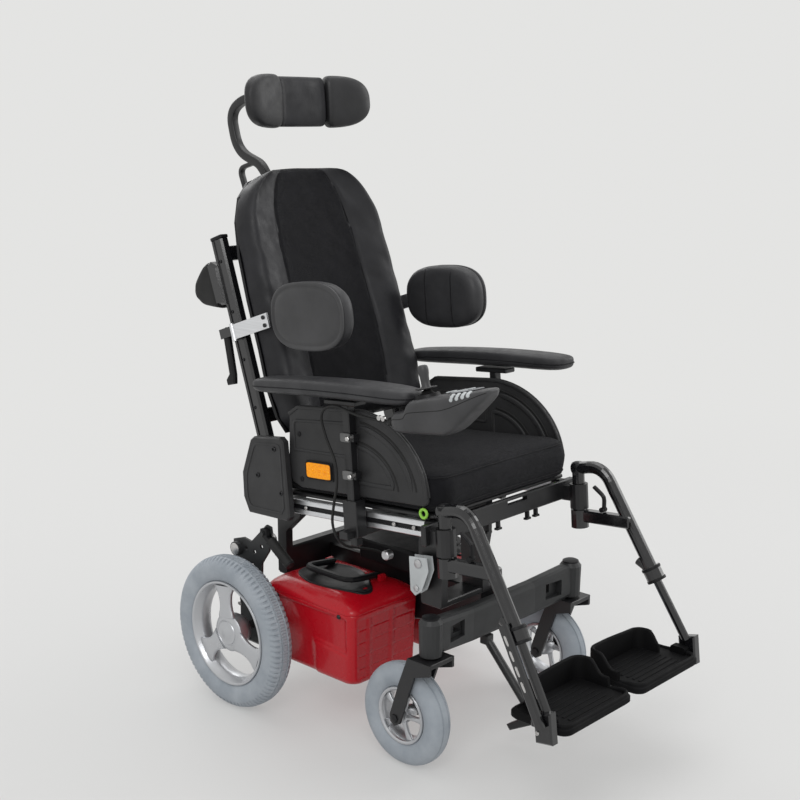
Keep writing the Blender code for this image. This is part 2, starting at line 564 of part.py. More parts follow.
def build_cable(root):
    """Control cable: from the pod along the arm, in a bow beside the post and back under the seat."""
    points = [(-0.2395, -0.4250, 0.6620), (-0.2400, -0.3900, 0.6600), (-0.2400, -0.3350, 0.6610),
              (-0.2385, -0.2700, 0.6680), (-0.2380, -0.2370, 0.6480), (-0.2370, -0.2450, 0.6080),
              (-0.2370, -0.2700, 0.5620), (-0.2370, -0.2750, 0.5200), (-0.2370, -0.2670, 0.4800),
              (-0.2370, -0.2620, 0.4400), (-0.2320, -0.2700, 0.4100), (-0.2000, -0.2640, 0.3850),
              (-0.1500, -0.2500, 0.3660), (-0.1000, -0.2460, 0.3460), (-0.0590, -0.2450, 0.3220)]
    smooth = []
    for i in range(len(points) - 1):
        p0, p1, p2, p3 = (Vector(points[max(0, min(len(points) - 1, i + k))]) for k in (-1, 0, 1, 2))
        for k in range(4):
            t = k / 4
            smooth.append(0.5 * (2 * p1 + (p2 - p0) * t + (2 * p0 - 5 * p1 + 4 * p2 - p3) * t * t
                                 + (3 * p1 - p0 - 3 * p2 + p3) * t ** 3))
    smooth.append(Vector(points[-1]))
    curve = bpy.data.curves.new("joystick_cable", "CURVE")
    curve.dimensions = "3D"
    spline = curve.splines.new("POLY")
    spline.points.add(len(smooth) - 1)
    for point, co in zip(spline.points, smooth):
        point.co = (*co, 1.0)
    curve.bevel_depth = 0.0027
    curve.bevel_resolution = 2
    curve.use_fill_caps = True
    ob = bpy.data.objects.new("joystick_cable", curve)
    bpy.context.scene.collection.objects.link(ob)
    curve.materials.append(bpy.data.materials["black_rubber"])
    ob.parent = root


# ---------------------------------------------------------------- back
BACK_ROWS = [(0.085, 0.180), (0.120, 0.196), (0.180, 0.203), (0.260, 0.200), (0.360, 0.200), (0.450, 0.196),
             (0.520, 0.184), (0.570, 0.162), (0.600, 0.130), (0.616, 0.080)]


def wrap(c):
    """How far the sides of the back curl forward at a share c of the half width."""
    return -0.034 * abs(c) ** 2.6


def build_back(back):
    """Two upright extruded tubes with cross bars, push handles, headrest receiver and arm lugs in one frame."""
    solids, holes = [], []
    for s in (-1, 1):
        tube = block((TUBE_W, TUBE_D, TUBE_TOP + 0.020), (s * TUBE_X, TUBE_Y, (TUBE_TOP - 0.020) / 2), 0.004)
        solids.append(cut(tube, block((0.004, 0.008, 0.45), (s * (TUBE_X + TUBE_W / 2), TUBE_Y + 0.004, 0.300))))
        grip = [(0.030, 0.368), (0.030, 0.448), (0.050, 0.462), (0.076, 0.456), (0.112, 0.430), (0.118, 0.408),
                (0.100, 0.386), (0.060, 0.372)]
        solids.append(prism(grip, s * TUBE_X - 0.017, s * TUBE_X + 0.017, 0.005))
        solids.append(block((0.0078, 0.026, 0.034), (s * (TUBE_X + 0.0128), TUBE_Y - 0.004, 0.308)))
        holes.append(rod((s * 0.16, TUBE_Y, 0), (s * 0.24, TUBE_Y, 0), 0.0066))
    for z in (0.130, 0.470):
        solids.append(block((2 * TUBE_X, 0.012, 0.030), (0, TUBE_Y, z), 0.002))
    for x, z in ((-0.10, 0.130), (0.10, 0.130), (-0.08, 0.470), (0.08, 0.470)):
        solids.append(block((0.030, 0.022, 0.010), (x, 0.009, z), 0.001))
    solids.append(block((0.038, 0.014, 0.150), (0, 0.0275, 0.510), 0.002))
    solids.append(block((0.038, 0.034, 0.070), (0, 0.040, 0.5950), 0.004))
    holes.append(block((0.0206, 0.0206, 0.260), (0, 0.040, 0.540)))
    for x in (0.1755, 0.1925):
        solids.append(block((0.003, 0.046, 0.020), (-x, 0.0540, 0.314)))
    solids.append(rod((-0.1740, 0.0660, 0.314), (-0.1940, 0.0660, 0.314), 0.0030))
    frame = combine(joined(*solids), holes, "DIFFERENCE")
    place("back_frame", frame, "gloss_tube", back)

    shell = shell_panel(BACK_ROWS, lambda c, t: -0.0035 + wrap(c), lambda c, t: -0.0110 + wrap(c), 8)
    place("back_shell", shell, "black_plastic", back)

    def front(c, t):
        crown = (1 - abs(c) ** 3.0) * 0.040 * (1 - 0.5 * (2 * t - 1) ** 4)
        return -0.0350 - crown + wrap(c) * 0.9

    rows = [(z, w - 0.004) for z, w in BACK_ROWS]
    cushion = shell_panel(rows, lambda c, t: -0.0118 + wrap(c), front, 8)
    place("back_cushion", cushion, "seat_fabric", back)


def build_recline_lever(back):
    """Release lever of the recline, on a lug behind the right tube."""
    lever = prism([(0.0560, 0.318), (0.0640, 0.326), (0.0740, 0.318), (0.0840, 0.232), (0.0980, 0.222), (0.0980, 0.210),
                   (0.0740, 0.208), (0.0680, 0.226)], TUBE_X - 0.006, TUBE_X + 0.006, 0.003)
    lever = cut(lever, rod((0.17, 0.0660, 0.314), (0.20, 0.0660, 0.314), 0.0036))
    place("recline_lever", mirrored(lever, -1), "grey_plastic", back, (-TUBE_X, 0.0660, 0.314))


def oval(y, z, ry, rz, turn=14.0, power=0.62, steps=20):
    out, turned = [], (math.cos(math.radians(turn)), math.sin(math.radians(turn)))
    for k in range(steps):
        a = 2 * math.pi * k / steps
        c, s = math.cos(a), math.sin(a)
        u, v = ry * math.copysign(abs(c) ** power, c), rz * math.copysign(abs(s) ** power, s)
        out.append((y + u * turned[0] - v * turned[1], z + u * turned[1] + v * turned[0]))
    return out


def build_lateral(back, side):
    """Swing-away trunk support: flat bar from the back tube and an oval pad with a backing plate."""
    name = tag(side)
    hinge = (side * 0.2070, 0.0160, 0.308)
    frame = empty(f"lateral_{name}", hinge, back)

    def add(node, bm, material):
        bmesh.ops.translate(bm, vec=(-0.2070, -hinge[1], -hinge[2]), verts=bm.verts)
        place(f"{node}_{name}", mirrored(bm, side), material, frame)

    add("lateral_arm", joined(block((0.004, 0.116, 0.030), (0.2070, -0.0400, 0.308)),
                              rod((0.2070, 0.0160, 0.290), (0.2070, 0.0160, 0.326), 0.0055)), "aluminium")
    plate = prism(oval(-0.2080, 0.2900, 0.1010, 0.066), 0.2020, 0.2090, 0.003, 1)
    pad = prism(oval(-0.2080, 0.2900, 0.0995, 0.0645), 0.1700, 0.2021, 0.010, 1)
    add("lateral_pad", joined(plate, pad), "dark_vinyl")


def build_headrest(back):
    """Bent bar sliding in the receiver, with a padded rest tilting on its front end."""
    path = [Vector((0, 0.040, 0.468)), Vector((0, 0.040, 0.560))]
    path += rounded_path([(0, 0.040, 0.640), (0, 0.050, 0.664), (0, 0.112, 0.712), (0, 0.106, 0.800),
                          (0, 0.040, 0.812), (0, -0.048, 0.762)], 0.040, 3)
    bar = sweep(path, pill_section(0.0190, 0.0190, 2))
    lugs = [block((0.006, 0.034, 0.022), (s * 0.0125, -0.0540, 0.7575), 0.001) for s in (-1, 1)]
    yoke = block((0.031, 0.012, 0.022), (0, -0.0415, 0.7620), 0.001)
    pin = rod((-0.0150, *HEAD_PIVOT[1:]), (0.0150, *HEAD_PIVOT[1:]), 0.0035)
    hook = sweep(rounded_path([(0, 0.060, 0.672), (0, 0.120, 0.676), (0, 0.112, 0.585)], 0.018, 3),
                 pill_section(0.014, 0.009, 2))
    place("headrest_bar", joined(bar, yoke, pin, hook, *lugs), "black_steel", back)
    head = empty("head_pivot", HEAD_PIVOT, back, 4.0 - BACK_LEAN)
    rows = [(-0.0500, 0.142), (-0.0440, 0.163), (0.0020, 0.170), (0.0480, 0.163), (0.0540, 0.142)]

    def curl(c):
        return -0.036 * max(0.0, (abs(c) - 0.30) / 0.70) ** 1.2

    def bulge(t):
        return 1 - 0.45 * (2 * t - 1) ** 4

    rest = shell_panel(rows, lambda c, t: -0.034 + curl(c) * 0.8 + 0.008 * bulge(t),
                       lambda c, t: -0.052 - 0.014 * bulge(t) + curl(c), 12)
    tongue = cut(block((0.0170, 0.034, 0.016), (0, -0.0120, 0), 0.001),
                 rod((-0.02, 0, 0), (0.02, 0, 0), 0.0039))
    place("headrest_pad", joined(rest, tongue), "dark_vinyl", head)


# ---------------------------------------------------------------- leg rests
def along(a, b, t):
    return Vector(a).lerp(Vector(b), t)


def to_seat(p):
    """Root coordinates of a point of the upright chair expressed in the tilted seat frame."""
    a = math.radians(SEAT_TILT)
    y, z = p[1], p[2] - SEAT_Z
    return Vector((p[0], y * math.cos(a) - z * math.sin(a), y * math.sin(a) + z * math.cos(a)))


def build_leg_rest(seat, side):
    """Hanger with its post, latch block and lever; sliding lower tube; flip-up footplate."""
    name = tag(side)
    hanger_frame = empty(f"legrest_{name}", (side * LEG_X, LEG_Y, 0), seat)
    knee, collar, ankle = to_seat(KNEE), to_seat(COLLAR), to_seat(ANKLE)
    shin = (ankle - collar).normalized()

    def add(node, bm, material, origin=None):
        origin = Vector(origin) if origin else Vector((LEG_X, LEG_Y, 0))
        bmesh.ops.translate(bm, vec=-origin, verts=bm.verts)
        ob = as_object(f"{node}_{name}", mirrored(bm, side))
        ob.data.materials.append(bpy.data.materials[material])
        ob.parent = hanger_frame
        ob.location = (side * (origin.x - LEG_X), origin.y - LEG_Y, origin.z)

    top = Vector((LEG_X, LEG_Y, 0.0400))
    tube = sweep(rounded_path([top + Vector((0, 0.010, 0)), knee, collar + shin * 0.012], 0.056, 7),
                 circle_section(LEG_TUBE_R, 14))
    post = rod((LEG_X, LEG_Y, -0.0790), (LEG_X, LEG_Y, 0.0520), LEG_TUBE_R, 14)
    mid = along(knee, collar, 0.52)
    latch_z = mid.z
    latch = block((0.022, abs(mid.y - LEG_Y) + 0.004, 0.024), (LEG_X + 0.002, (mid.y + LEG_Y) / 2 - 0.006, latch_z),
                  0.003)
    sleeve = rod((LEG_X, LEG_Y, -0.0795), (LEG_X, LEG_Y, -0.0430), 0.0178, 14)
    cuff = rod(collar - shin * 0.014, collar + shin * 0.016, 0.0180, 14)
    knob = rod(collar + Vector((0, 0.010, 0.006)), collar + Vector((0, 0.034, 0.020)), 0.0090)
    bore = rod(collar - shin * 0.110, collar + shin * 0.030, LOWER_R + GAP)
    add("legrest_hanger", cut(joined(tube, post, latch, sleeve, cuff, knob), bore), "gloss_tube")

    pivot = Vector((LEG_X, mid.y + 0.056, latch_z + 0.0180))
    hook = sweep(rounded_path([pivot + Vector((0, -0.002, 0)), pivot + Vector((0, -0.004, 0.026)),
                               pivot + Vector((0, 0.020, 0.044))], 0.014, 2), pill_section(0.009, 0.007, 2))
    lever = joined(hook, rod(pivot - Vector((0.007, 0, 0)), pivot + Vector((0.007, 0, 0)), 0.0052, 14))
    add("latch_lever", lever, "black_plastic", pivot)

    foot = ankle + shin * 0.006
    stem = rod(collar - shin * 0.096, foot, LOWER_R)
    clamp = prism([(foot.y - 0.020, foot.z - 0.046), (foot.y + 0.016, foot.z - 0.049), (foot.y + 0.018, foot.z + 0.004),
                   (foot.y - 0.018, foot.z + 0.010)], foot.x - 0.002, foot.x + 0.018, 0.003)
    parts = [stem, clamp]
    if side < 0:
        out = Vector((0.0248, 0.004, 0.002))
        parts.append(sweep([collar - shin * 0.020 + out, foot + out + shin * 0.02], pill_section(0.011, 0.018, 3)))
        parts.append(block((0.030, 0.020, 0.014), foot + out * 0.5 + Vector((0, 0.004, -0.010)), 0.002))
    add("legrest_lower", joined(*parts), "gloss_tube")
    add_footplate(add)


def add_footplate(add):
    """Tray with raised heel, inner and outer rims, hinged on the clamp at the bottom of the leg rest."""
    x0, x1, y0, y1 = FOOT_X0, FOOT_X1, FOOT_Y0, FOOT_Y1
    xm, ym = (x0 + x1) / 2, (y0 + y1) / 2
    w, d = x1 - x0, y1 - y0
    z = FOOT_Z
    tray = [block((w, d, 0.012), (xm, ym, z), 0.004, 1),
            block((w - 0.036, 0.009, 0.060), (xm - 0.014, y1 - 0.0046, z + 0.024), 0.004, 1),
            block((0.009, d * 0.48, 0.044), (x0 + 0.0046, y1 - d * 0.24, z + 0.016), 0.004, 1),
            block((0.009, d * 0.42, 0.036), (x1 - 0.030, y1 - d * 0.21, z + 0.012), 0.003, 1),
            block((w, 0.010, 0.022), (xm, y0 + 0.005, z + 0.004), 0.003, 1),
            block((0.016, 0.032, 0.024), (x1 - 0.006, FOOT_HINGE_Y, FOOT_HINGE_Z - 0.0135), 0.002)]
    bm = joined(*tray)
    for v in bm.verts:
        v.co = to_seat(v.co)
    hinge = to_seat((FOOT_X1 + 0.003, FOOT_HINGE_Y, FOOT_HINGE_Z))
    add("footplate", bm, "black_plastic", hinge)


def main():
    clear_scene()
    make_materials()
    root = empty("chair", (0, AXLE_Y, 0))
    build_chassis(root)
    build_front_beam(root)
    build_kerb_climber(root)
    seat = empty("seat_unit", (0, 0, SEAT_Z), root, SEAT_TILT)
    hinge = empty("recline_pivot", (0, PIVOT_Y, PIVOT_Z), root, BACK_LEAN)
    back = empty("back_unit", (0, -TUBE_Y, 0), hinge)
    build_seat(seat)
    build_front_rail(seat)
    build_arm_receiver(seat)
    build_back(back)
    build_recline_lever(back)
    build_headrest(back)
    for side in (-1, 1):
        build_battery_box(root, side)
        build_motor(root, side)
        build_drive_wheel(root, side)
        build_castor(root, side)
        build_hinge_cover(seat, side)
        build_armrest(seat, side)
        build_lateral(back, side)
        build_leg_rest(seat, side)
    build_joystick(root)
    build_cable(root)


main()
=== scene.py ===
"""Looks of the power wheelchair: materials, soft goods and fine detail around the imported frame."""
import json
import math

import bmesh
import bpy
from mathutils import Matrix, Vector, noise


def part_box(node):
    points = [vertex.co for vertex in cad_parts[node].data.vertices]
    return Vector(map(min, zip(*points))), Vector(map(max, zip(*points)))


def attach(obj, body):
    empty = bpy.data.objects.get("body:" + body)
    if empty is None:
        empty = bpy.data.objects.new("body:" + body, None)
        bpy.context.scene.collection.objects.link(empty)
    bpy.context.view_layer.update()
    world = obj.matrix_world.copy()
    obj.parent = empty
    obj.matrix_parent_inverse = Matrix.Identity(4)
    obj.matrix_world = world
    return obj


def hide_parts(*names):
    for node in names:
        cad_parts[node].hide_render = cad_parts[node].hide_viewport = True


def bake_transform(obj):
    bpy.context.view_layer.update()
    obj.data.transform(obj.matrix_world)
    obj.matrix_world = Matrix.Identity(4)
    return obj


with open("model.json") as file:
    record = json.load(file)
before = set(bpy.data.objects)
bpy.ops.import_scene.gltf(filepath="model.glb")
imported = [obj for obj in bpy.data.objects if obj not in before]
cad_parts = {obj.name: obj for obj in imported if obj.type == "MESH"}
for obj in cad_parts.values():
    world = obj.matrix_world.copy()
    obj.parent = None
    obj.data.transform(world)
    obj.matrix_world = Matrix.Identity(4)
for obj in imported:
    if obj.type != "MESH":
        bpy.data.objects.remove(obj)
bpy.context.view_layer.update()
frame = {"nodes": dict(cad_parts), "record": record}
NODES = frame["nodes"]
AXLE_Y = (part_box("drive_rim_R")[0][1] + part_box("drive_rim_R")[1][1]) / 2
SEAT_TILT, BACK_LEAN = math.radians(4.5), math.radians(18.5)
SIDES = (("R", -1), ("L", 1))


def mm(rows):
    """Rows of millimetres as rows of metres."""
    return [tuple(value / 1000 for value in row) for row in rows]


# frames that the pieces are drawn in: whole chair, tilted seat, reclined backrest
W = Matrix.Translation((0, AXLE_Y, 0))
SEAT = Matrix.Translation((0, AXLE_Y, 0.4257)) @ Matrix.Rotation(-SEAT_TILT, 4, "X")
RECLINE = Matrix.Translation((0, AXLE_Y - 0.041, 0.4737)) @ Matrix.Rotation(-BACK_LEAN, 4, "X")
BACK = RECLINE @ Matrix.Translation((0, -0.02, 0))

# ---------------------------------------------------------------- camera, light, stage
BACKDROP = (0.775, 0.775, 0.765)


def set_camera():
    data = bpy.data.cameras.new("camera")
    data.sensor_width, data.lens, data.clip_end = 36.0, 58.3, 200.0
    ob = bpy.data.objects.new("camera", data)
    ob.location = (-1.863, -1.968 + AXLE_Y, 1.186)
    ob.rotation_euler = (math.radians(90 - 12.18), 0, math.radians(-46.74))
    bpy.context.scene.collection.objects.link(ob)
    bpy.context.scene.camera = ob


def area_light(name, at, target, size, watts):
    data = bpy.data.lights.new(name, "AREA")
    data.shape, data.size, data.size_y = "RECTANGLE", size[0], size[1]
    data.energy = watts
    ob = bpy.data.objects.new(name, data)
    ob.location = at
    ob.rotation_euler = (Vector(target) - Vector(at)).to_track_quat("-Z", "Y").to_euler()
    bpy.context.scene.collection.objects.link(ob)


def set_stage():
    scene = bpy.context.scene
    scene.view_settings.view_transform = "Standard"
    world = bpy.data.worlds.new("studio")
    world.use_nodes = True
    world.node_tree.nodes["Background"].inputs[0].default_value = (*BACKDROP, 1)
    world.node_tree.nodes["Background"].inputs[1].default_value = 1.0
    scene.world = world
    area_light("key", (-3.0, -2.2, 3.4), (0, 0, 0.5), (2.2, 2.2), 62)
    area_light("top", (0.6, 0.6, 4.0), (0, 0, 0.5), (3.0, 3.0), 48)
    area_light("rim", (3.2, -1.4, 2.2), (0, 0, 0.6), (1.6, 2.4), 34)
    area_light("back", (0.8, 3.4, 2.4), (0, 0, 0.6), (2.4, 1.8), 30)
    bm = bmesh.new()
    bmesh.ops.create_circle(bm, cap_ends=True, segments=96, radius=40.0)
    floor = as_object("studio_floor", bm, None)
    floor.data.materials.append(floor_material())


def floor_material():
    """Matt pale floor that fades into the backdrop away from the object."""
    mat, tree, bsdf = new_material((0.54, 0.54, 0.54), 0.75)
    mat.name = "studio_floor"
    coords = tree.nodes.new("ShaderNodeTexCoord")
    length = tree.nodes.new("ShaderNodeVectorMath")
    length.operation = "LENGTH"
    fade = tree.nodes.new("ShaderNodeMapRange")
    fade.interpolation_type = "SMOOTHSTEP"
    fade.inputs["From Min"].default_value, fade.inputs["From Max"].default_value = 0.6, 3.2
    fade.inputs["To Min"].default_value = 0.4
    glow = tree.nodes.new("ShaderNodeEmission")
    glow.inputs[0].default_value = (*BACKDROP, 1)
    mix = tree.nodes.new("ShaderNodeMixShader")
    out = tree.nodes["Material Output"]
    tree.links.new(coords.outputs["Object"], length.inputs[0])
    tree.links.new(length.outputs["Value"], fade.inputs["Value"])
    tree.links.new(fade.outputs[0], mix.inputs[0])
    tree.links.new(bsdf.outputs[0], mix.inputs[1])
    tree.links.new(glow.outputs[0], mix.inputs[2])
    tree.links.new(mix.outputs[0], out.inputs["Surface"])
    return mat


# ---------------------------------------------------------------- materials
def new_material(colour, rough, metal=0.0, **sockets):
    mat = bpy.data.materials.new("surface")
    mat.use_nodes = True
    bsdf = mat.node_tree.nodes["Principled BSDF"]
    bsdf.inputs["Base Color"].default_value = (*colour, 1)
    bsdf.inputs["Roughness"].default_value = rough
    bsdf.inputs["Metallic"].default_value = metal
    for key, value in sockets.items():
        bsdf.inputs[key.replace("_", " ")].default_value = value
    return mat, mat.node_tree, bsdf


class Paint:
    """A Principled material with layers of procedural colour, roughness and relief."""

    def __init__(self, colour, rough, metal=0.0, **sockets):
        self.mat, self.tree, self.bsdf = new_material(colour, rough, metal, **sockets)
        self.coords = self.tree.nodes.new("ShaderNodeTexCoord")
        self.normal = None

    def node(self, kind, **values):
        node = self.tree.nodes.new("ShaderNode" + kind)
        for key, value in values.items():
            if key in node.inputs:
                node.inputs[key].default_value = value
            else:
                setattr(node, key, value)
        return node

    def link(self, a, b):
        self.tree.links.new(a, b)

    def stretched(self, scale):
        mapping = self.node("Mapping")
        mapping.inputs["Scale"].default_value = scale
        self.link(self.coords.outputs["Object"], mapping.inputs["Vector"])
        return mapping.outputs[0]

    def noise(self, scale, detail, stretch=(1, 1, 1)):
        tex = self.node("TexNoise", Scale=scale, Detail=detail, Roughness=0.55)
        self.link(self.stretched(stretch), tex.inputs["Vector"])
        return tex.outputs["Fac"]

    def waves(self, scale, direction):
        tex = self.node("TexWave", Scale=scale, bands_direction=direction)
        self.link(self.stretched((1, 1, 1)), tex.inputs["Vector"])
        return tex.outputs["Fac"]

    def cells(self, scale):
        tex = self.node("TexVoronoi", Scale=scale)
        self.link(self.stretched((1, 1, 1)), tex.inputs["Vector"])
        return tex.outputs["Distance"]

    def maths(self, operation, a, b):
        node = self.node("Math", operation=operation)
        for socket, value in zip(node.inputs, (a, b)):
            if hasattr(value, "is_output"):
                self.link(value, socket)
            else:
                socket.default_value = value
        return node.outputs[0]

    def ramp(self, fac, low, high, start=0.3, end=0.7):
        node = self.node("ValToRGB")
        node.color_ramp.elements[0].position, node.color_ramp.elements[1].position = start, end
        node.color_ramp.elements[0].color, node.color_ramp.elements[1].color = (*low, 1), (*high, 1)
        self.link(fac, node.inputs[0])
        return node.outputs[0]

    def tint(self, fac, low, high, start=0.3, end=0.7):
        self.link(self.ramp(fac, low, high, start, end), self.bsdf.inputs["Base Color"])
        return self

    def gloss(self, fac, low, high, start=0.3, end=0.7):
        node = self.node("MapRange")
        for key, value in zip(("From Min", "From Max", "To Min", "To Max"), (start, end, low, high)):
            node.inputs[key].default_value = value
        self.link(fac, node.inputs["Value"])
        self.link(node.outputs[0], self.bsdf.inputs["Roughness"])
        return self

    def relief(self, fac, depth, strength=1.0):
        bump = self.node("Bump", Distance=depth, Strength=strength)
        self.link(fac, bump.inputs["Height"])
        if self.normal:
            self.link(self.normal, bump.inputs["Normal"])
        self.normal = bump.outputs[0]
        self.link(self.normal, self.bsdf.inputs["Normal"])
        return self


def moulded(colour, rough, light=1.35, grain=900.0, **sockets):
    """Fine-textured moulded plastic: leather-like grain, faint mottling and uneven sheen."""
    p = Paint(colour, rough, **{"Specular_IOR_Level": 0.34, **sockets})
    high = tuple(min(1.0, c * light + 0.002) for c in colour)
    p.tint(p.noise(9, 4), tuple(c * 0.85 for c in colour), high)
    p.gloss(p.noise(26, 3), rough - 0.07, rough + 0.08)
    return p.relief(p.cells(grain), 0.00012, 0.5).relief(p.noise(60, 2), 0.0006, 0.25).mat


def coated(colour, rough, metal=0.0, peel=260.0, **sockets):
    """Powder coat or paint: orange peel, light dust and small changes of gloss."""
    p = Paint(colour, rough, metal, **sockets)
    dust = tuple(c * 0.8 + 0.02 for c in colour)
    p.tint(p.noise(14, 5), colour, tuple(c * 0.86 + d * 0.14 for c, d in zip(colour, dust)), 0.45, 0.8)
    p.gloss(p.noise(38, 3), max(0.05, rough - 0.05), rough + 0.08)
    return p.relief(p.noise(peel, 2), 0.0001, 0.6).mat


def metal(colour, rough, stretch=(1, 1, 1), streaks=220.0):
    """Bare metal with fine directional streaks and dull patches."""
    p = Paint(colour, rough, 1.0)
    p.tint(p.noise(streaks, 3, stretch), tuple(c * 0.86 for c in colour), colour, 0.35, 0.65)
    p.gloss(p.noise(20, 4), rough - 0.06, rough + 0.12)
    return p.relief(p.noise(streaks, 2, stretch), 0.00004, 0.25).mat


def cloth(colour, light, threads=780.0, wrinkle=0.0022, rough=0.85):
    """Woven fabric: crossed threads, pilling and soft broad wrinkles."""
    p = Paint(colour, rough, Sheen_Weight=0.04, Sheen_Roughness=0.4, Specular_IOR_Level=0.18)
    weave = p.maths("MULTIPLY", p.waves(threads, "X"), p.maths("ADD", p.waves(threads, "Z"),
        p.waves(threads, "Y")))
    p.tint(p.maths("ADD", p.maths("MULTIPLY", weave, 0.35), p.maths("MULTIPLY", p.noise(30, 5), 0.75)),
           colour, light, 0.25, 0.85)
    p.gloss(p.noise(120, 3), rough - 0.08, rough + 0.08)
    p.relief(weave, 0.00035, 0.6)
    return p.relief(p.noise(11, 3, (1.6, 1.0, 0.8)), wrinkle, 0.6).mat


def vinyl(colour, light, rough=0.42, wrinkle=0.0016):
    """Upholstery vinyl: pebble grain and stretch wrinkles with a soft shine."""
    p = Paint(colour, rough, Coat_Weight=0.05, Coat_Roughness=0.35, Specular_IOR_Level=0.32)
    p.tint(p.noise(16, 5), colour, light, 0.3, 0.75)
    p.gloss(p.noise(45, 4), rough - 0.08, rough + 0.12)
    p.relief(p.cells(620), 0.00022, 0.6)
    return p.relief(p.noise(13, 4, (1.4, 1.0, 0.7)), wrinkle, 0.55).mat


def tyre_rubber(colour, light):
    p = Paint(colour, 0.72)
    p.tint(p.noise(22, 6), colour, light, 0.3, 0.75)
    p.gloss(p.noise(70, 3), 0.62, 0.86)
    return p.relief(p.noise(700, 3), 0.00015, 0.6).mat


def reflector():
    """Amber prismatic plastic: rows of small cells under a clear coat, with a faint painted glow."""
    # The emission is painted light: it makes the reflector glow although it is no lamp.
    p = Paint((0.85, 0.28, 0.004), 0.3, Coat_Weight=0.15, Coat_Roughness=0.05, Specular_IOR_Level=0.2,
              Emission_Strength=0.22, Emission_Color=(1.0, 0.36, 0.0, 1))
    cells = p.cells(420)
    p.tint(cells, (0.95, 0.42, 0.004), (0.7, 0.2, 0.002), 0.1, 0.7)
    return p.relief(cells, 0.0009, 0.9).mat


MATS = {"black_steel": coated((0.008, 0.008, 0.009), 0.36), "gloss_tube": coated((0.005, 0.005, 0.006), 0.16,
    0.0, Coat_Weight=0.5, Coat_Roughness=0.1), "cast_grey": coated((0.02, 0.021, 0.022), 0.5, 0.1, 420.0),
        "aluminium": metal((0.8, 0.81, 0.83), 0.34, (1, 0.02, 1)),
        "silver_rim": coated((0.5, 0.51, 0.53), 0.32, 0.75, 300.0, Coat_Weight=0.3, Coat_Roughness=0.15),
        "zinc": metal((0.58, 0.58, 0.59), 0.32), "red_shell": coated((0.4, 0.003, 0.01), 0.26, 0.0, 60.0,
    Coat_Weight=0.3, Coat_Roughness=0.04, Specular_IOR_Level=0.2),
        "grey_tyre": tyre_rubber((0.255, 0.285, 0.32), (0.345, 0.375, 0.41)),
        "grey_plastic": moulded((0.021, 0.021, 0.022), 0.48), "pod_plastic": moulded((0.042, 0.042, 0.044),
    0.42), "black_plastic": moulded((0.005, 0.005, 0.006), 0.48, Specular_IOR_Level=0.24),
        "black_rubber": moulded((0.006, 0.006, 0.006), 0.6, 1.6, 500.0),
        "seat_fabric": cloth((0.003, 0.003, 0.0042), (0.0095, 0.0095, 0.012)),
        "side_fabric": vinyl((0.006, 0.006, 0.0078), (0.015, 0.015, 0.018), 0.5),
        "dark_vinyl": vinyl((0.012, 0.012, 0.013), (0.023, 0.023, 0.025), 0.46, 0.0009),
        "pad_vinyl": vinyl((0.023, 0.023, 0.025), (0.04, 0.04, 0.043), 0.46, 0.0009),
        "foot_black": moulded((0.003, 0.003, 0.0034), 0.62, Specular_IOR_Level=0.1),
        "key_silicone": moulded((0.2, 0.205, 0.215), 0.34), "seam": cloth((0.006, 0.006, 0.007),
    (0.016, 0.016, 0.018), 1500.0, 0.0002), "amber": reflector(), "bolt": metal((0.62, 0.61, 0.6), 0.3),
        "dark_bolt": coated((0.03, 0.03, 0.032), 0.3, 0.8), "clamp_grey": moulded((0.1, 0.1, 0.1), 0.45),
        "green_tag": moulded((0.3, 0.62, 0.08), 0.4), "clear_plastic": moulded((0.4, 0.42, 0.43), 0.2),}
for key, mat in MATS.items():
    mat.name = key


# ---------------------------------------------------------------- mesh helpers
def as_object(name, bm, body, material=None, smooth=40.0):
    """Links a mesh as an object that rides on the body and takes the given material."""
    bmesh.ops.recalc_face_normals(bm, faces=bm.faces)
    mesh = bpy.data.meshes.new(name)
    bm.to_mesh(mesh)
    bm.free()
    ob = bpy.data.objects.new(name, mesh)
    bpy.context.scene.collection.objects.link(ob)
    mesh.shade_smooth()
    if smooth:
        mesh.set_sharp_from_angle(angle=math.radians(smooth))
    if material:
        mesh.materials.append(MATS[material])
    if body:
        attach(ob, body)
    return ob


SLOTS = {m["slot"]: m["slot"] for m in frame["record"]["materials"]}
SLOTS.update(side_fabric="seat_fabric", seam="seat_fabric", amber="key_silicone", bolt="zinc",
             dark_bolt="zinc")


def rounded_path(points, radius, steps=6):
    """Polyline with its corners rounded."""
    points = [Vector(p) for p in points]
    out = [points[0]]
    for a, b, c in zip(points, points[1:], points[2:]):
        u, v = (a - b).normalized(), (c - b).normalized()
        r = min(radius, (a - b).length * 0.48, (c - b).length * 0.48)
        p, q = b + u * r, b + v * r
        out += [(1 - t) ** 2 * p + 2 * t * (1 - t) * b + t * t * q
                for t in (k / steps for k in range(steps + 1))]
    return out + [points[-1]]


def circle(radius, steps=16):
    return [(radius * math.cos(2 * math.pi * k / steps), radius * math.sin(2 * math.pi * k / steps))
            for k in range(steps)]


def skin(bm, rings, caps=True):
    """Joins rings of vertices with equal counts, and caps the two ends."""
    n = len(rings[0])
    for a, b in zip(rings, rings[1:]):
        for i in range(n):
            bm.faces.new([a[i], a[(i + 1) % n], b[(i + 1) % n], b[i]])
    if caps:
        bm.faces.new(rings[0][::-1])
        bm.faces.new(rings[-1])
    return bm


def loft(bm, rings):
    """Skins rings of points with equal counts."""
    return skin(bm, [[bm.verts.new(p) for p in ring] for ring in rings])


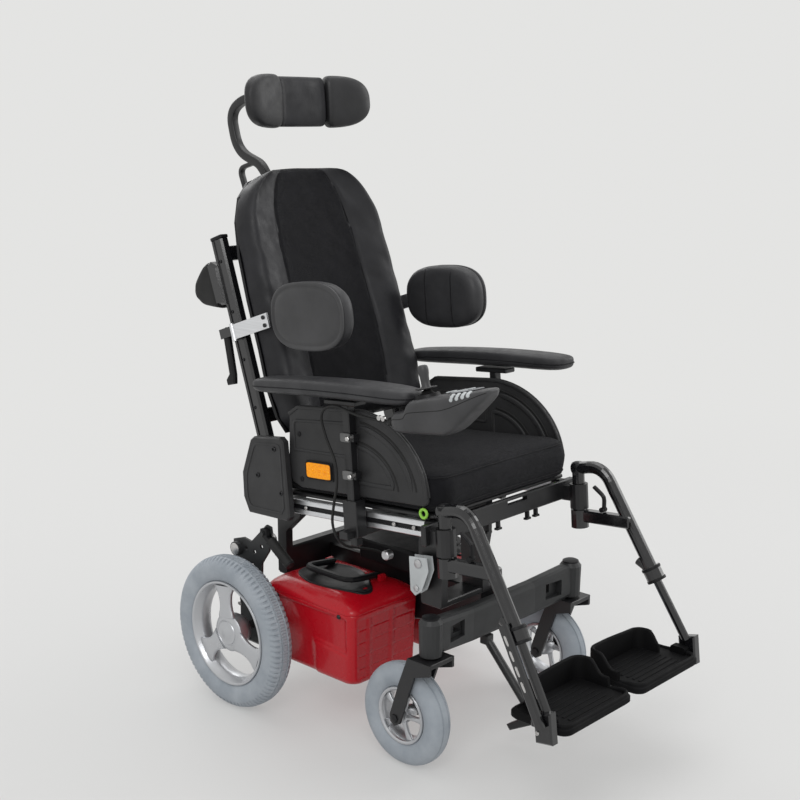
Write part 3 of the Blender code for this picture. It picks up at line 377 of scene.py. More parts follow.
def tube(bm, points, section, up=(1, 0, 0), close=False, scale=None):
    """Sweeps a section (u along up, v across) along points and caps it unless closed."""
    points = [Vector(p) for p in points]
    rings, n = [], len(points)
    for k, p in enumerate(points):
        if close:
            before, after = points[k - 1], points[(k + 1) % n]
        else:
            before, after = points[max(k - 1, 0)], points[min(k + 1, n - 1)]
        along = (after - before).normalized()
        side = (Vector(up) - along * along.dot(Vector(up))).normalized()
        across = along.cross(side)
        s = scale(k / max(n - 1, 1)) if scale else 1.0
        rings.append([bm.verts.new(p + (side * a + across * b) * s) for a, b in section])
    return skin(bm, rings + rings[:1] if close else rings, not close)


def spin(bm, profile, steps, axis="X", at=(0, 0, 0), shape=None):
    """Revolves (radius, height) points about an axis. shape(angle, radius, height) may change a point."""
    at, rings = Vector(at), []
    for s in range(steps):
        a = 2 * math.pi * s / steps
        ring = []
        for r, h in profile:
            if shape:
                r, h = shape(a, r, h)
            c, d = r * math.cos(a), r * math.sin(a)
            ring.append(bm.verts.new(at + Vector({"X": (h, c, d), "Y": (d, h, c), "Z": (c, d, h)}[axis])))
        rings.append(ring)
    n = len(profile)
    closed = profile[0][0] > 1e-6 and profile[-1][0] > 1e-6
    for a, b in zip(rings, rings[1:] + rings[:1]):
        for i in range(n if closed else n - 1):
            j = (i + 1) % n
            bm.faces.new([a[i], b[i], b[j], a[j]])
    bmesh.ops.remove_doubles(bm, verts=bm.verts, dist=1e-6)
    bmesh.ops.dissolve_degenerate(bm, dist=1e-7, edges=bm.edges)
    return bm


def turned(profile, steps, places):
    """The same piece, turned about X, at several places."""
    bm = bmesh.new()
    for at in places:
        spin(bm, profile, steps, "X", at)
    return bm


def merge(bm, other):
    """Adds the faces of another mesh."""
    verts = {v: bm.verts.new(v.co) for v in other.verts}
    for f in other.faces:
        bm.faces.new([verts[v] for v in f.verts])
    other.free()


def slab(bm, outline, x0, x1, axis="X"):
    """Extrudes an outline between two planes."""
    def point(a, b, x):
        return {"X": (x, a, b), "Y": (a, x, b), "Z": (a, b, x)}[axis]
    low = [bm.verts.new(point(a, b, x0)) for a, b in outline]
    high = [bm.verts.new(point(a, b, x1)) for a, b in outline]
    bm.faces.new(low[::-1])
    bm.faces.new(high)
    for i in range(len(outline)):
        j = (i + 1) % len(outline)
        bm.faces.new([low[i], low[j], high[j], high[i]])
    return bm


def soften(ob, width, angle=32.0):
    """Rounds the sharp edges of a piece."""
    mod = ob.modifiers.new("edges", "BEVEL")
    mod.width, mod.segments, mod.limit_method, mod.angle_limit = width, 2, "ANGLE", math.radians(angle)


def subdivide(ob):
    mod = ob.modifiers.new("smooth", "SUBSURF")
    mod.levels = mod.render_levels = 1


def placed(bm, space, side=1):
    """The mesh, drawn for +X in a frame of the chair, mirrored for the right side and put in its place."""
    if side < 0:
        bmesh.ops.scale(bm, vec=(-1, 1, 1), verts=bm.verts)
        bmesh.ops.reverse_faces(bm, faces=bm.faces)
    bm.transform(space)
    return bm


def put(name, tag, bm, space, body, material, smooth=40.0):
    """The piece of one side, R or L, which the star in the names stands for."""
    bm = placed(bm, space, dict(SIDES)[tag])
    return as_object(name.replace("*", tag), bm, body.replace("*", tag), material, smooth)


# ---------------------------------------------------------------- wheels
def rim_piece(name, node, body, at, side, radius, width, hub_r, spokes, spoke_w, bore, turn=0.0):
    """Cast rim: lipped ring, domed hub with a cap and broad crowned spokes, outer face on +X."""
    w, r = width / 2, radius
    bm = spin(bmesh.new(), [(r - 0.0002, -w * 0.86), (r - 0.0002, w * 0.86), (r + 0.0012, w * 0.96),
                            (r, w * 1.07), (r - 0.003, w * 1.08), (r - 0.0055, w * 0.98),
                            (r * 0.925, w * 0.62), (r * 0.885, w * 0.42), (r * 0.868, w * 0.1),
                            (r * 0.868, -w * 0.45), (r * 0.9, -w * 0.8), (r - 0.003, -w * 1.02),
                            (r + 0.0008, -w * 0.98)], 96)
    spin(bm, [(0, w * 0.98), (hub_r * 0.3, w * 0.98), (hub_r * 0.34, w * 0.93), (hub_r * 0.6, w * 0.92),
              (hub_r * 0.63, w * 0.84), (hub_r * 0.67, w * 0.84), (hub_r * 0.7, w * 0.9),
              (hub_r * 0.9, w * 0.82), (hub_r, w * 0.62), (hub_r * 1.02, w * 0.1), (hub_r * 0.92, -w * 0.35),
              (hub_r * 0.7, -w * 1.0), (hub_r * 0.52, -w * 1.15), (bore, -w * 1.15), (bore, -w * 0.22),
              (0, -w * 0.22)], 56)
    for k in range(spokes):
        arm = bmesh.new()
        rings = []
        for i in range(9):
            t = i / 8
            rr = hub_r * 0.82 + (r * 0.9 - hub_r * 0.82) * t
            waist = 0.3 * math.sin(math.pi * min(1, t * 1.15))
            half = spoke_w * (1.0 - waist + 0.28 * max(0, t - 0.78) / 0.22)
            x = w * (0.66 - 0.16 * t)
            ring = []
            for j in range(16):
                a = 2 * math.pi * j / 16
                c, s = math.cos(a), math.sin(a)
                u = half * math.copysign(abs(c) ** 0.55, c)
                v = (0.006 if s > 0 else 0.0075) * (r / 0.109) ** 0.6 * math.copysign(abs(s) ** 0.8, s)
                ring.append((x + v, u, rr))
            rings.append(ring)
        loft(arm, rings)
        arm.transform(Matrix.Rotation(2 * math.pi * k / spokes + turn, 4, "X"))
        merge(bm, arm)
    bm.transform(Matrix.Translation(Vector(at)) @ Matrix.Diagonal((side, 1, 1, 1)))
    ob = as_object(name, bm, body, "silver_rim", 38)
    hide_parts(node)


def drive_tyre(name, node, body, at):
    profile = mm([(109.6, -19), (113, -22.5), (119, -26.2), (127, -28.1), (136, -28.3), (144, -26.8),
                  (149.5, -24.3), (153.5, -20.8), (156.2, -16.5), (157.8, -12), (158.6, -9.8), (156, -8.6),
                  (156, -6.6), (159, -5.4), (159, 0)])
    profile += [(r, -h) for r, h in profile[-2::-1]]
    blocks = 84

    def tread(a, r, h):
        phase = (a * blocks / (2 * math.pi) + (0.5 if h > 0 else 0.0) + 16 * abs(h)) % 1.0
        if 0.01 < abs(h) < 0.025 and r > 0.1485:
            return (r - 0.0036, h) if phase < 0.34 else (r, h)
        if abs(h) < 0.006 and r > 0.158:
            return (r - 0.0018, h) if (phase * 2) % 1.0 < 0.22 else (r, h)
        return r, h

    ob = as_object(name, spin(bmesh.new(), profile, blocks * 6, "X", at, tread), body, "grey_tyre", 34)
    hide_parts(node)


def castor_tyre(name, node, body, at):
    half = mm([(55.6, -15), (60, -19.5), (68, -22.8), (78, -23.7), (86.5, -22.2), (93, -18), (96.8, -12.5),
               (98.5, -9.6), (96.8, -8.4), (97.2, -6.8), (99.6, -5.6), (100, 0)])
    ob = as_object(name, spin(bmesh.new(), half + [(r, -h) for r, h in half[-2::-1]], 112, "X", at), body,
                   "grey_tyre")
    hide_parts(node)


DRIVE_X, DRIVE_Z = 0.27, 0.159
CASTOR_X, CASTOR_Y, CASTOR_Z, STEM_Y = 0.214, -0.434, 0.1, -0.493


def build_wheels():
    """Drive wheels and castors, the nuts of the castor axles and the caps of the castor housings."""
    for tag, side in SIDES:
        hub = W @ Vector((side * DRIVE_X, 0, DRIVE_Z))
        rim_piece(f"drive_wheel_casting_{tag}", f"drive_rim_{tag}", f"drive_wheel_{tag}", hub, side, 0.109,
                  0.044, 0.04, 3, 0.024, 0.0092, math.radians(-8))
        drive_tyre(f"drive_wheel_tyre_{tag}", f"drive_tyre_{tag}", f"drive_wheel_{tag}", hub)
        at = W @ Vector((side * CASTOR_X, CASTOR_Y, CASTOR_Z))
        rim_piece(f"castor_casting_{tag}", f"castor_rim_{tag}", f"castor_wheel_{tag}", at, side, 0.055, 0.036,
                  0.0165, 5, 0.0065, 0.0055, 0.3)
        castor_tyre(f"castor_wheel_tyre_{tag}", f"castor_tyre_{tag}", f"castor_wheel_{tag}", at)
        bm = bmesh.new()
        for dx in (-1, 1):
            spin(bm, [(0, 0.0372 * dx), (0.006, 0.0372 * dx), (0.0085, 0.0362 * dx), (0.0085, 0.0335 * dx),
                      (0, 0.0335 * dx)], 6, "X", at)
        as_object(f"castor_axle_nuts_{tag}", bm, f"castor_{tag}", "dark_bolt", 30)
        bm = bmesh.new()
        stem = W @ Vector((side * CASTOR_X, STEM_Y, 0))
        spin(bm, mm([(0, 308.5), (13, 308), (16.5, 306.2), (16.8, 303), (0, 303)]), 40, "Z", stem)
        as_object(f"castor_housing_cap_{tag}", bm, "chassis", "black_plastic")


# ---------------------------------------------------------------- battery boxes
CASE_X0, CASE_X1, CASE_Y0, CASE_Y1, CASE_Z0, CASE_Z1 = 0.03, 0.226, -0.302, -0.042, 0.1, 0.284


def box_ring(z, inset, side_points=30, corner_points=9, radius=0.022):
    """Outline of the case at a height, tapering to the bottom, pushed in by an inset and by its relief."""
    x0, x1, y0, y1 = CASE_X0 + inset, CASE_X1 - inset, CASE_Y0 + inset, CASE_Y1 - inset
    low = (CASE_Z1 - z) / (CASE_Z1 - CASE_Z0)
    radius += 0.45 * inset
    pts = []
    corners = [((x1, y1), 0), ((x0, y1), 90), ((x0, y0), 180), ((x1, y0), 270)]
    for k, ((cx, cy), start) in enumerate(corners):
        sx, sy = (1 if cx == x1 else -1), (1 if cy == y1 else -1)
        for i in range(corner_points):
            a = math.radians(start + 90 * i / (corner_points - 1))
            pts.append((cx - sx * radius + radius * math.cos(a), cy - sy * radius + radius * math.sin(a),
                        math.cos(a), math.sin(a)))
        nx, ny = corners[(k + 1) % 4][0]
        end = math.radians(start + 90)
        a0 = (cx - sx * radius + radius * math.cos(end), cy - sy * radius + radius * math.sin(end))
        tx, ty = (1 if nx == x1 else -1), (1 if ny == y1 else -1)
        a1 = (nx - tx * radius + radius * math.cos(end), ny - ty * radius + radius * math.sin(end))
        for i in range(1, side_points):
            t = i / side_points
            pts.append((a0[0] + (a1[0] - a0[0]) * t, a0[1] + (a1[1] - a0[1]) * t, math.cos(end),
                        math.sin(end)))
    out = []
    for x, y, nx, ny in pts:
        d = case_relief(x, y, z, nx, ny)
        x, y = x - nx * d, y - ny * d
        taper_x = 0.014 * low * (x - CASE_X0) / (CASE_X1 - CASE_X0)
        taper_y = 0.012 * low * (CASE_Y1 - y) / (CASE_Y1 - CASE_Y0)
        out.append(Vector((x - taper_x, y + taper_y, z)))
    return out


def step(v, edge, soft=0.004):
    t = max(0.0, min(1.0, (v - edge) / soft + 0.5))
    return t * t * (3 - 2 * t)


def case_relief(x, y, z, nx, ny):
    """Depth below the case's skin: a stepped field on the side, panels in front, a seam under the lid."""
    d = 0.0016 * max(0.0, 1 - abs(z - 0.2525) / 0.0016)
    below = 1 - step(z, 0.243, 0.004)
    if nx > 0.98:
        fore = step(-y, 0.186, 0.006)
        line = 0.181 - 0.08 * (-y - 0.186)
        sunk = (1 - fore * (0.5 * step(line, z, 0.003) + 0.5 * step(line - 0.009, z, 0.003)))
        d += 0.0046 * below * sunk * step(-y, 0.066, 0.008) * step(0.283, -y, 0.004)
    if ny < -0.98:
        grooves = max(math.exp(-((z - g) / 0.0016) ** 2) for g in (0.135, 0.163, 0.191, 0.219))
        ridge = max(1 - step(abs(x - g), 0.0045, 0.003) for g in (0.178, 0.112))
        d += below * (1 - ridge) * (0.0022 + 0.0016 * grooves) * step(z, 0.116, 0.004)
    return d


CASE_TOP = mm([(0, 254), (0.3, 255), (1.5, 259), (4, 263), (7.5, 267), (12.5, 271), (19, 275), (26.5, 278.5),
               (35, 281.2), (43, 282.8), (52, 283.6), (64, 284)])


def case_height(x, y):
    """Height of the case's rounded lid above a point of its plan."""
    d = min(x - CASE_X0, CASE_X1 - x, y - CASE_Y0, CASE_Y1 - y)
    for (d0, z0), (d1, z1) in zip(CASE_TOP, CASE_TOP[1:]):
        if d < d1:
            return z0 + (z1 - z0) * max(0.0, d - d0) / (d1 - d0)
    return CASE_TOP[-1][1]


def build_battery_boxes():
    """Each case with its handle lugs, a black sheet on the lid under the handle that paints the shade of its
    recess, and two screws of the lid.
    """
    levels = mm([(100.4, 30), (100, 18), (101.5, 8.5), (105, 3.5), (110, 1), (115, 0)])
    levels += [(0.115 + 0.126 * k / 56, 0) for k in range(1, 57)]
    levels += mm([(244, 0), (247, 0), (250, 0), (251.2, 0), (252.5, 0), (253.8, 0)])
    levels += [(z, inset) for inset, z in CASE_TOP[1:]]
    for tag in "RL":
        bm = loft(bmesh.new(), [box_ring(z, inset) for z, inset in levels])
        for y in (-0.2508, -0.0992):
            slab(bm, [(y - 0.004, 0.28), (y + 0.004, 0.28), (y + 0.004, 0.2955), (y, 0.2968),
                      (y - 0.004, 0.2955)], 0.0845, 0.0995)
        ob = put("battery_case_*", tag, bm, W, "chassis", "red_shell", 42)
        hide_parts(f"battery_box_{tag}")
        # Black sheet laid on the lid under the handle: painted shade standing for the handle's recess.
        bm = bmesh.new()
        rings = []
        for share, lift in ((1.0, -0.001), (1.0, 0.0012), (0.985, 0.0022), (0.95, 0.0024), (0.925, 0.0016),
                            (0.905, 0.0004), (0.7, 0.0004), (0.4, 0.0004), (0.1, 0.0004)):
            ring = []
            for k in range(96):
                a = 2 * math.pi * k / 96
                narrow = 1 - 0.42 * step(-math.sin(a), 0.35, 1.3)
                x = 0.136 + 0.06 * share * narrow * math.copysign(abs(math.cos(a)) ** 0.75, math.cos(a))
                y = -0.178 + 0.098 * share * math.copysign(abs(math.sin(a)) ** 0.85, math.sin(a))
                x += 0.018 * step(-math.sin(a) * share, 0.4, 1.2)
                ring.append((x, y, case_height(x, y) + lift))
            rings.append(ring)
        loft(bm, rings)
        put("handle_well_*", tag, bm, W, "chassis", "black_plastic", 50)
        bm = bmesh.new()
        x = 0.2235
        for y in (-0.262, -0.084):
            head = [(0, x + 0.0022), (0.0035, x + 0.002), (0.0048, x + 0.0006), (0.0048, x - 0.003),
                    (0, x - 0.003)]
            spin(bm, head, 24, "X", (0, y, 0.246))
        put("lid_screws_*", tag, bm, W, "chassis", "dark_bolt")


# ---------------------------------------------------------------- soft goods
def rounded_rect(w, l, radius, pull, n=26, m=9):
    """Outline with rounded corners whose sides pull in between the corners."""
    pts = []
    for (sx, sy), start in (((1, 1), 0), ((-1, 1), 90), ((-1, -1), 180), ((1, -1), 270)):
        for i in range(m):
            a = math.radians(start + 90 * i / (m - 1))
            pts.append([sx * (w - radius) + radius * math.cos(a), sy * (l - radius) + radius * math.sin(a)])
        nx = {0: (-1, 1), 90: (-1, -1), 180: (1, -1), 270: (1, 1)}[start]
        b = pts[-1]
        end = math.radians(start + 90)
        c = [nx[0] * (w - radius) + radius * math.cos(end), nx[1] * (l - radius) + radius * math.sin(end)]
        for i in range(1, n):
            t = i / n
            pts.append([b[0] + (c[0] - b[0]) * t, b[1] + (c[1] - b[1]) * t])
    for p in pts:
        if abs(p[0]) > w - 0.5 * radius:
            p[0] -= math.copysign(pull * math.cos(math.pi * p[1] / (2 * l)) ** 2, p[0])
        if abs(p[1]) > l - 0.5 * radius:
            p[1] -= math.copysign(pull * math.cos(math.pi * p[0] / (2 * w)) ** 2, p[1])
    return pts


def wobble(p, size, amount, seed=0.0):
    return amount * noise.noise(Vector(p) * size + Vector((seed, seed * 1.7, -seed)))


def build_seat_cushion():
    """Cover from (inset, height) rings, dished for the sitter, with piping round both edges."""
    base, w, l = Vector((0, -0.287, 0.0292)), 0.1965, 0.2185
    profile = mm([(120, 0), (50, 0), (20, 0.4), (8, 2.2), (3, 6), (2.2, 9.5), (3.6, 11.2), (1.6, 13), (0, 19),
                  (-1.6, 30), (-2.4, 40), (-1.2, 51), (1, 59), (3, 63), (5, 64.4), (4.6, 66), (7.5, 69.5),
                  (12.5, 72.5), (20, 75), (32, 76.8), (50, 78.2), (75, 79), (105, 79.4), (140, 79.4),
                  (170, 79.2)])
    rings = []
    for inset, z in profile:
        outline = rounded_rect(w - inset, l - inset, max(0.038 - inset * 0.55, 0.006), 0.0035, 34, 11)
        ring = []
        for x, y in outline:
            lift = 0.0
            if z > 0.066:
                dip = 0.0055 * math.exp(-((x / 0.1) ** 2 + ((y - 0.04) / 0.13) ** 2))
                lift = wobble((x, y, 0), 9.0, 0.0016) - dip
            elif z > 0.012:
                x, y = x + wobble((x, y, z), 26.0, 0.0013, 3.0), y + wobble((x, y, z), 24.0, 0.0012, 7.0)
            ring.append(base + Vector((x, y, z + lift)))
        rings.append(ring)
    ob = as_object("seat_cushion_cover", placed(loft(bmesh.new(), rings), SEAT), "chassis", "seat_fabric", 0)
    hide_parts("seat_cushion")
    bm = bmesh.new()
    for inset, z in ((0.0022, 0.0112), (0.004, 0.065)):
        edge = rounded_rect(w - inset, l - inset, 0.036, 0.0035, 34, 11)
        path = [base + Vector((x, y, z)) for x, y in edge]
        tube(bm, path, circle(0.0015, 8), (0, 0, 1), close=True)
    as_object("seat_cushion_piping", placed(bm, SEAT), "chassis", "seam")


BACK_Z0, BACK_Z1 = 0.086, 0.617
BACK_ROWS = mm([(85, 180), (120, 196), (180, 203), (260, 200), (360, 200), (450, 196)])


def back_width(z):
    """Half width of the back at a height: blended rows, and a round top above the last."""
    top, w = BACK_ROWS[-1]
    if z > top:
        w *= max(0.0, 1 - ((z - top) / 0.17) ** 2.4) ** 0.312
        return w - 0.003
    for (z0, w0), (z1, w1) in zip(BACK_ROWS, BACK_ROWS[1:]):
        if z <= z1:
            return w0 + (w1 - w0) * step(z, (z0 + z1) / 2, z1 - z0) - 0.003


def back_height(t, c=0.0, arch=0.0):
    """Height at a share of the back, raised towards the middle near the top."""
    z = BACK_Z0 + (BACK_Z1 - BACK_Z0) * (1 - (1 - t) ** 1.12)
    return z + arch * step(t, 0.8, 0.4) * (1 - c * c)


def back_split(t):
    """Where the centre panel ends and the bolster starts, as a share of the half width."""
    return 0.5 + 0.05 * math.sin(math.pi * t)


def spread(c):
    """Column positions from -1 to 1, closer together at the edges."""
    return math.sin(math.pi / 2 * c) * 0.35 + c * 0.65


def back_front(c, t):
    """Front of the back cushion: sunk centre panel, raised bolsters, seams and a rounded edge."""
    a = abs(c)
    edge = max(0.0, 1 - max(0.0, (a - 0.86) / 0.14) ** 2.4) ** 0.5
    ends = max(0.0, 1 - max(0.0, (abs(2 * t - 1) - 0.9) / 0.1) ** 2.4) ** 0.5
    body = 0.05 + 0.012 * math.exp(-((a - 0.74) / 0.16) ** 2) * (1 - step(t, 0.62, 0.6))
    body += 0.01 * math.exp(-((t - 0.26) / 0.16) ** 2) * (1 - a * a)
    seam = 0.0045 * math.exp(-((a - back_split(t)) / 0.014) ** 2) * (1 - step(t, 0.93, 0.1))
    return back_rear(c) - 0.0015 - (body - seam) * edge * ends


def back_rear(c):
    return -0.0125 - 0.034 * abs(c) ** 2.6


def build_back_cushion():
    cols, rows, arch = 96, 90, 0.011
    bm = bmesh.new()
    grids = []
    for front in (True, False):
        grid = []
        for k in range(rows + 1):
            t = k / rows
            z = back_height(t)
            w = back_width(z)
            line = []
            for i in range(cols + 1):
                c = spread(2 * i / cols - 1)
                y = back_front(c, t) if front else back_rear(c)
                x = w * c
                if front:
                    drag = 0.0022 if abs(c) > 0.5 else 0.0008
                    y += wobble((x * 1.2, 0, z * 2.6 + x * 2.4), 14.0, drag, 5.0) * (abs(c) < 0.97)
                line.append(bm.verts.new((x, y, back_height(t, c, arch))))
            grid.append(line)
        grids.append(grid)
    for g, grid in enumerate(grids):
        for k in range(rows):
            for i in range(cols):
                face = bm.faces.new([grid[k][i], grid[k][i + 1], grid[k + 1][i + 1], grid[k + 1][i]])
                c = spread(abs((i + 0.5) / cols * 2 - 1))
                face.material_index = 1 if g == 0 and c > back_split(k / rows) else 0
    f, b = grids
    for k in range(rows):
        for i in (0, cols):
            bm.faces.new([f[k][i], f[k + 1][i], b[k + 1][i], b[k][i]]).material_index = 1
    for i in range(cols):
        for k in (0, rows):
            bm.faces.new([f[k][i], f[k][i + 1], b[k][i + 1], b[k][i]]).material_index = 1
    ob = as_object("back_cushion_cover", placed(bm, BACK), "backrest", "seat_fabric", 0)
    ob.data.materials.append(MATS["side_fabric"])
    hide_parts("back_cushion")
    bm = bmesh.new()
    for s in (-1, 1):
        path = []
        for k in range(4, 87):
            t = k / rows
            c = s * back_split(t)
            path.append((back_width(back_height(t)) * c, back_front(c, t) - 0.0002, back_height(t, c, arch)))
        tube(bm, path, circle(0.0013, 8))
    as_object("back_cushion_seams", placed(bm, BACK), "backrest", "seam")


HEAD = BACK @ Matrix.Translation((0, -0.062, 0.7575)) @ Matrix.Rotation(math.radians(14.5), 4, "X")


def superellipse(a, b, power, steps=32, at=(0, 0)):
    """Rounded rectangle of half sizes a and b about a point; power 1 is an ellipse, near 0 a box."""
    out = []
    for k in range(steps):
        t = 2 * math.pi * k / steps
        u = a * math.copysign(abs(math.cos(t)) ** power, math.cos(t))
        v = b * math.copysign(abs(math.sin(t)) ** power, math.sin(t))
        out.append((at[0] + u, at[1] + v))
    return out


def build_headrest():
    """Centre pad and two swept wings on a thin moulded back plate, with the tilt block behind."""
    def spine(c, back=0.0):
        curl = -0.036 * max(0.0, (abs(c) - 0.3) / 0.7) ** 1.2
        return Vector((0.17 * c, -0.0505 + curl + back, 0.002))

    segments = {"left": (0.397, 1.0, 0.0), "centre": (-0.39, 0.39, 0.0025), "right": (-1.0, -0.397, 0.0)}
    for name, (c0, c1, depth) in segments.items():
        path = [spine(c0 + (c1 - c0) * k / 40, depth) for k in range(41)]
        path = path if c1 > c0 else path[::-1]

        def swell(t, name=name):
            outer = {"left": t, "right": 1 - t}.get(name)
            if outer is None:
                return max(0.5, (1 - abs(2 * t - 1) ** 40)) ** 0.25
            return max(0.02, 1 - outer ** 3.4) ** 0.42 * max(0.5, 1 - (1 - outer) ** 36) ** 0.25 * 1.07

        thick = 0.0165 if name == "centre" else 0.02
        bm = tube(bmesh.new(), path, superellipse(0.05, thick, 0.62), (0, 0, 1), scale=swell)
        for v in bm.verts:
            v.co.z = 0.002 + (v.co.z - 0.002) * (1.0 + 0.02 * math.cos(12 * v.co.x))
            v.co.y += wobble(v.co, 30.0, 0.001, 2.0)
        cover = "side_fabric" if name == "centre" else "dark_vinyl"
        ob = as_object(f"headrest_{name}", placed(bm, HEAD), "headrest_pad", cover, 0)
        subdivide(ob)
        if name == "centre":
            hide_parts("headrest_pad")
    bm = bmesh.new()
    path = [spine(-0.93 + 1.86 * k / 60, 0.0155) for k in range(61)]
    plate = superellipse(0.0385, 0.0022, 0.5, 20)
    tube(bm, path, plate, (0, 0, 1), scale=lambda t: max(0.1, 1 - abs(2 * t - 1) ** 9) ** 0.5)
    as_object("headrest_plate", placed(bm, HEAD), "headrest_pad", "black_plastic")
    bm = slab(bmesh.new(), superellipse(0.0082, 0.0078, 0.5, 20), -0.0345, 0.0048, "Y")
    soften(as_object("headrest_tilt_block", placed(bm, HEAD), "headrest_pad", "black_steel", 30), 0.001)


def build_headrest_bar():
    """Square bar with smooth bends, the hanging release hook and the yoke of the tilt hinge."""
    bm = bmesh.new()
    bar = [Vector((0, 0.04, 0.4705)), Vector((0, 0.04, 0.56))]
    bar += rounded_path(mm([(0, 40, 640), (0, 50, 664), (0, 112, 712), (0, 106, 800), (0, 40, 812),
                            (0, -46, 763.5)]), 0.04, 10)
    tube(bm, bar, superellipse(0.0096, 0.0096, 0.42, 28))
    hook = rounded_path([(0, 0.056, 0.672), (0, 0.119, 0.676), (0, 0.112, 0.583)], 0.02, 8)
    tube(bm, hook, superellipse(0.007, 0.0046, 0.45, 20))
    for x in (-0.0155, 0.0095):
        slab(bm, mm([(-71, 746.5), (-37, 746.5), (-37, 768.5), (-71, 768.5)]), x, x + 0.006)
    slab(bm, mm([(-47.5, 750), (-35.5, 750), (-35.5, 774), (-47.5, 774)]), -0.016, 0.016)
    spin(bm, mm([(0, -18), (3.8, -17.6), (3.8, 17.6), (0, 18)]), 24, "X", (0, -0.062, 0.7575))
    ob = as_object("headrest_bent_bar", placed(bm, BACK), "headrest_bar", "black_steel")
    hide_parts("headrest_bar")


def on_lateral(x, u, v):
    """A point of the trunk support's plane, which is turned about its centre."""
    turn = math.radians(14)
    y = -0.208 + u * math.cos(turn) - v * math.sin(turn)
    return x, y, 0.29 + u * math.sin(turn) + v * math.cos(turn)


def oval_ring(inset, x):
    """Ring of the trunk support's outline at a distance from the middle of the chair."""
    return [on_lateral(x, u, v) for u, v in superellipse(0.101 - inset, 0.066 - inset, 0.74, 72)]


def build_laterals():
    """Trunk supports: a back plate and a cushion from (inset, place) rings, two seams and two screws."""
    plate = mm([(30, 203), (3, 203), (0, 205), (0, 207.8), (2, 209.3), (6, 209.5), (7.5, 208), (10, 207.8),
                (12.5, 209.4), (20, 210.6), (33, 211.8), (48, 212.5), (60, 212.7)])
    pad = mm([(30, 202.4), (3, 202.2), (0.8, 199.5), (0, 194), (0, 188), (1.2, 182), (4, 177.2), (9, 173.5),
              (16, 171.2), (26, 170), (40, 169.4), (56, 169.2)])
    for tag, side in SIDES:
        bm = loft(bmesh.new(), [oval_ring(i, x) for i, x in plate])
        put("lateral_plate_*", tag, bm, BACK, "lateral_*", "pod_plastic", 50)
        bm = loft(bmesh.new(), [oval_ring(i, x) for i, x in pad])
        for v in bm.verts:
            if v.co.x < 0.199:
                v.co.x += wobble(v.co, 40.0, 0.0007, side)
        ob = put("lateral_cushion_*", tag, bm, BACK, "lateral_*", "pad_vinyl", 0)
        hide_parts(f"lateral_pad_{tag}")
        bm = bmesh.new()
        for u in (-0.036, 0.036):
            path = []
            for k in range(25):
                v = 0.0585 * math.sin(math.pi / 2 * (2 * k / 24 - 1))
                x = 0.1693 + 0.0075 * abs(v / 0.0585) ** 6
                path.append(on_lateral(x, u, v))
            tube(bm, path, circle(0.0013, 8))
        put("lateral_seams_*", tag, bm, BACK, "lateral_*", "seam")
        head = mm([(0, 211.8), (3, 211.8), (4.2, 210.8), (4.2, 208.5), (0, 208.5)])
        bm = turned(head, 20, [(0, -0.086, z) for z in (0.316, 0.3)])
        put("lateral_screws_*", tag, bm, BACK, "lateral_*", "dark_bolt")


ARM_X = 0.226


def build_arm_pads():
    """Upholstered pads from stations along the arm (place, half width, half height, lift), and seams."""
    rows = mm([(-488, 10, 7.5, 0), (-486.5, 19, 11, 0), (-480, 27, 14, 0), (-466, 31.2, 16, 0),
               (-440, 33.5, 17.5, 0.6), (-400, 34.2, 18.2, 2), (-340, 33.6, 18.6, 3.4),
               (-270, 31.8, 18.6, 3.6), (-200, 29.5, 18.4, 2.8), (-140, 27.4, 17.6, 1.2),
               (-100, 25.8, 16.6, 0), (-80, 24, 15, -0.6), (-70, 21, 12.5, -1), (-64.5, 16, 9, -1.2),
               (-63.5, 8, 4.5, -1.2)])
    for tag in "RL":
        rings = []
        for y, w, h, lift in rows:
            ring = []
            for u, v in superellipse(w, h, 0.68, 32):
                dish = -0.002 * (1 - (u / max(w, 1e-4)) ** 2) if v > 0 else 0.0
                ring.append((ARM_X + u, y, 0.2495 + v + lift + dish))
            rings.append(ring)
        ob = put("arm_pad_cover_*", tag, loft(bmesh.new(), rings), SEAT, "armrest_*", "pad_vinyl", 0)
        subdivide(ob)
        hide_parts(f"arm_pad_{tag}")
        bm = bmesh.new()
        path = []
        for s, seq in ((1, rows), (-1, rows[::-1])):
            path += [(ARM_X + w * 0.985 * s, y, 0.247 + lift) for y, w, h, lift in seq]
        tube(bm, path, circle(0.0011, 8), (0, 0, 1), close=True)
        put("arm_pad_seam_*", tag, bm, SEAT, "armrest_*", "seam")


# ---------------------------------------------------------------- cable, joystick, side panels
CABLE = [(-0.2395, -0.425, 0.662), (-0.24, -0.39, 0.66), (-0.24, -0.335, 0.661), (-0.2385, -0.27, 0.668),
         (-0.238, -0.237, 0.648), (-0.237, -0.245, 0.608), (-0.237, -0.27, 0.562), (-0.237, -0.275, 0.52),
         (-0.237, -0.267, 0.48), (-0.237, -0.262, 0.44), (-0.232, -0.27, 0.41), (-0.2, -0.264, 0.385),
         (-0.15, -0.25, 0.366), (-0.1, -0.246, 0.346), (-0.059, -0.245, 0.322)]


def spline(points, steps):
    out = []
    for i in range(len(points) - 1):
        p0, p1, p2, p3 = (Vector(points[max(0, min(len(points) - 1, i + k))]) for k in (-1, 0, 1, 2))
        for k in range(steps):
            t = k / steps
            out.append(0.5 * (2 * p1 + (p2 - p0) * t + (2 * p0 - 5 * p1 + 4 * p2 - p3) * t * t
                              + (3 * p1 - p0 - 3 * p2 + p3) * t ** 3))
    return out + [Vector(points[-1])]


def build_cable():
    """Joystick cable: a fixed tube that bows beside the post by the armrest and runs on from the rail down.
    """
    path = [W @ p for p in spline(CABLE, 10)]
    ob = as_object("control_cable", tube(bmesh.new(), path, circle(0.0027, 14), (0.3, 0.1, 1)), None,
                   "black_rubber", 60)
    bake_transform(ob)
    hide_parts("joystick_cable")


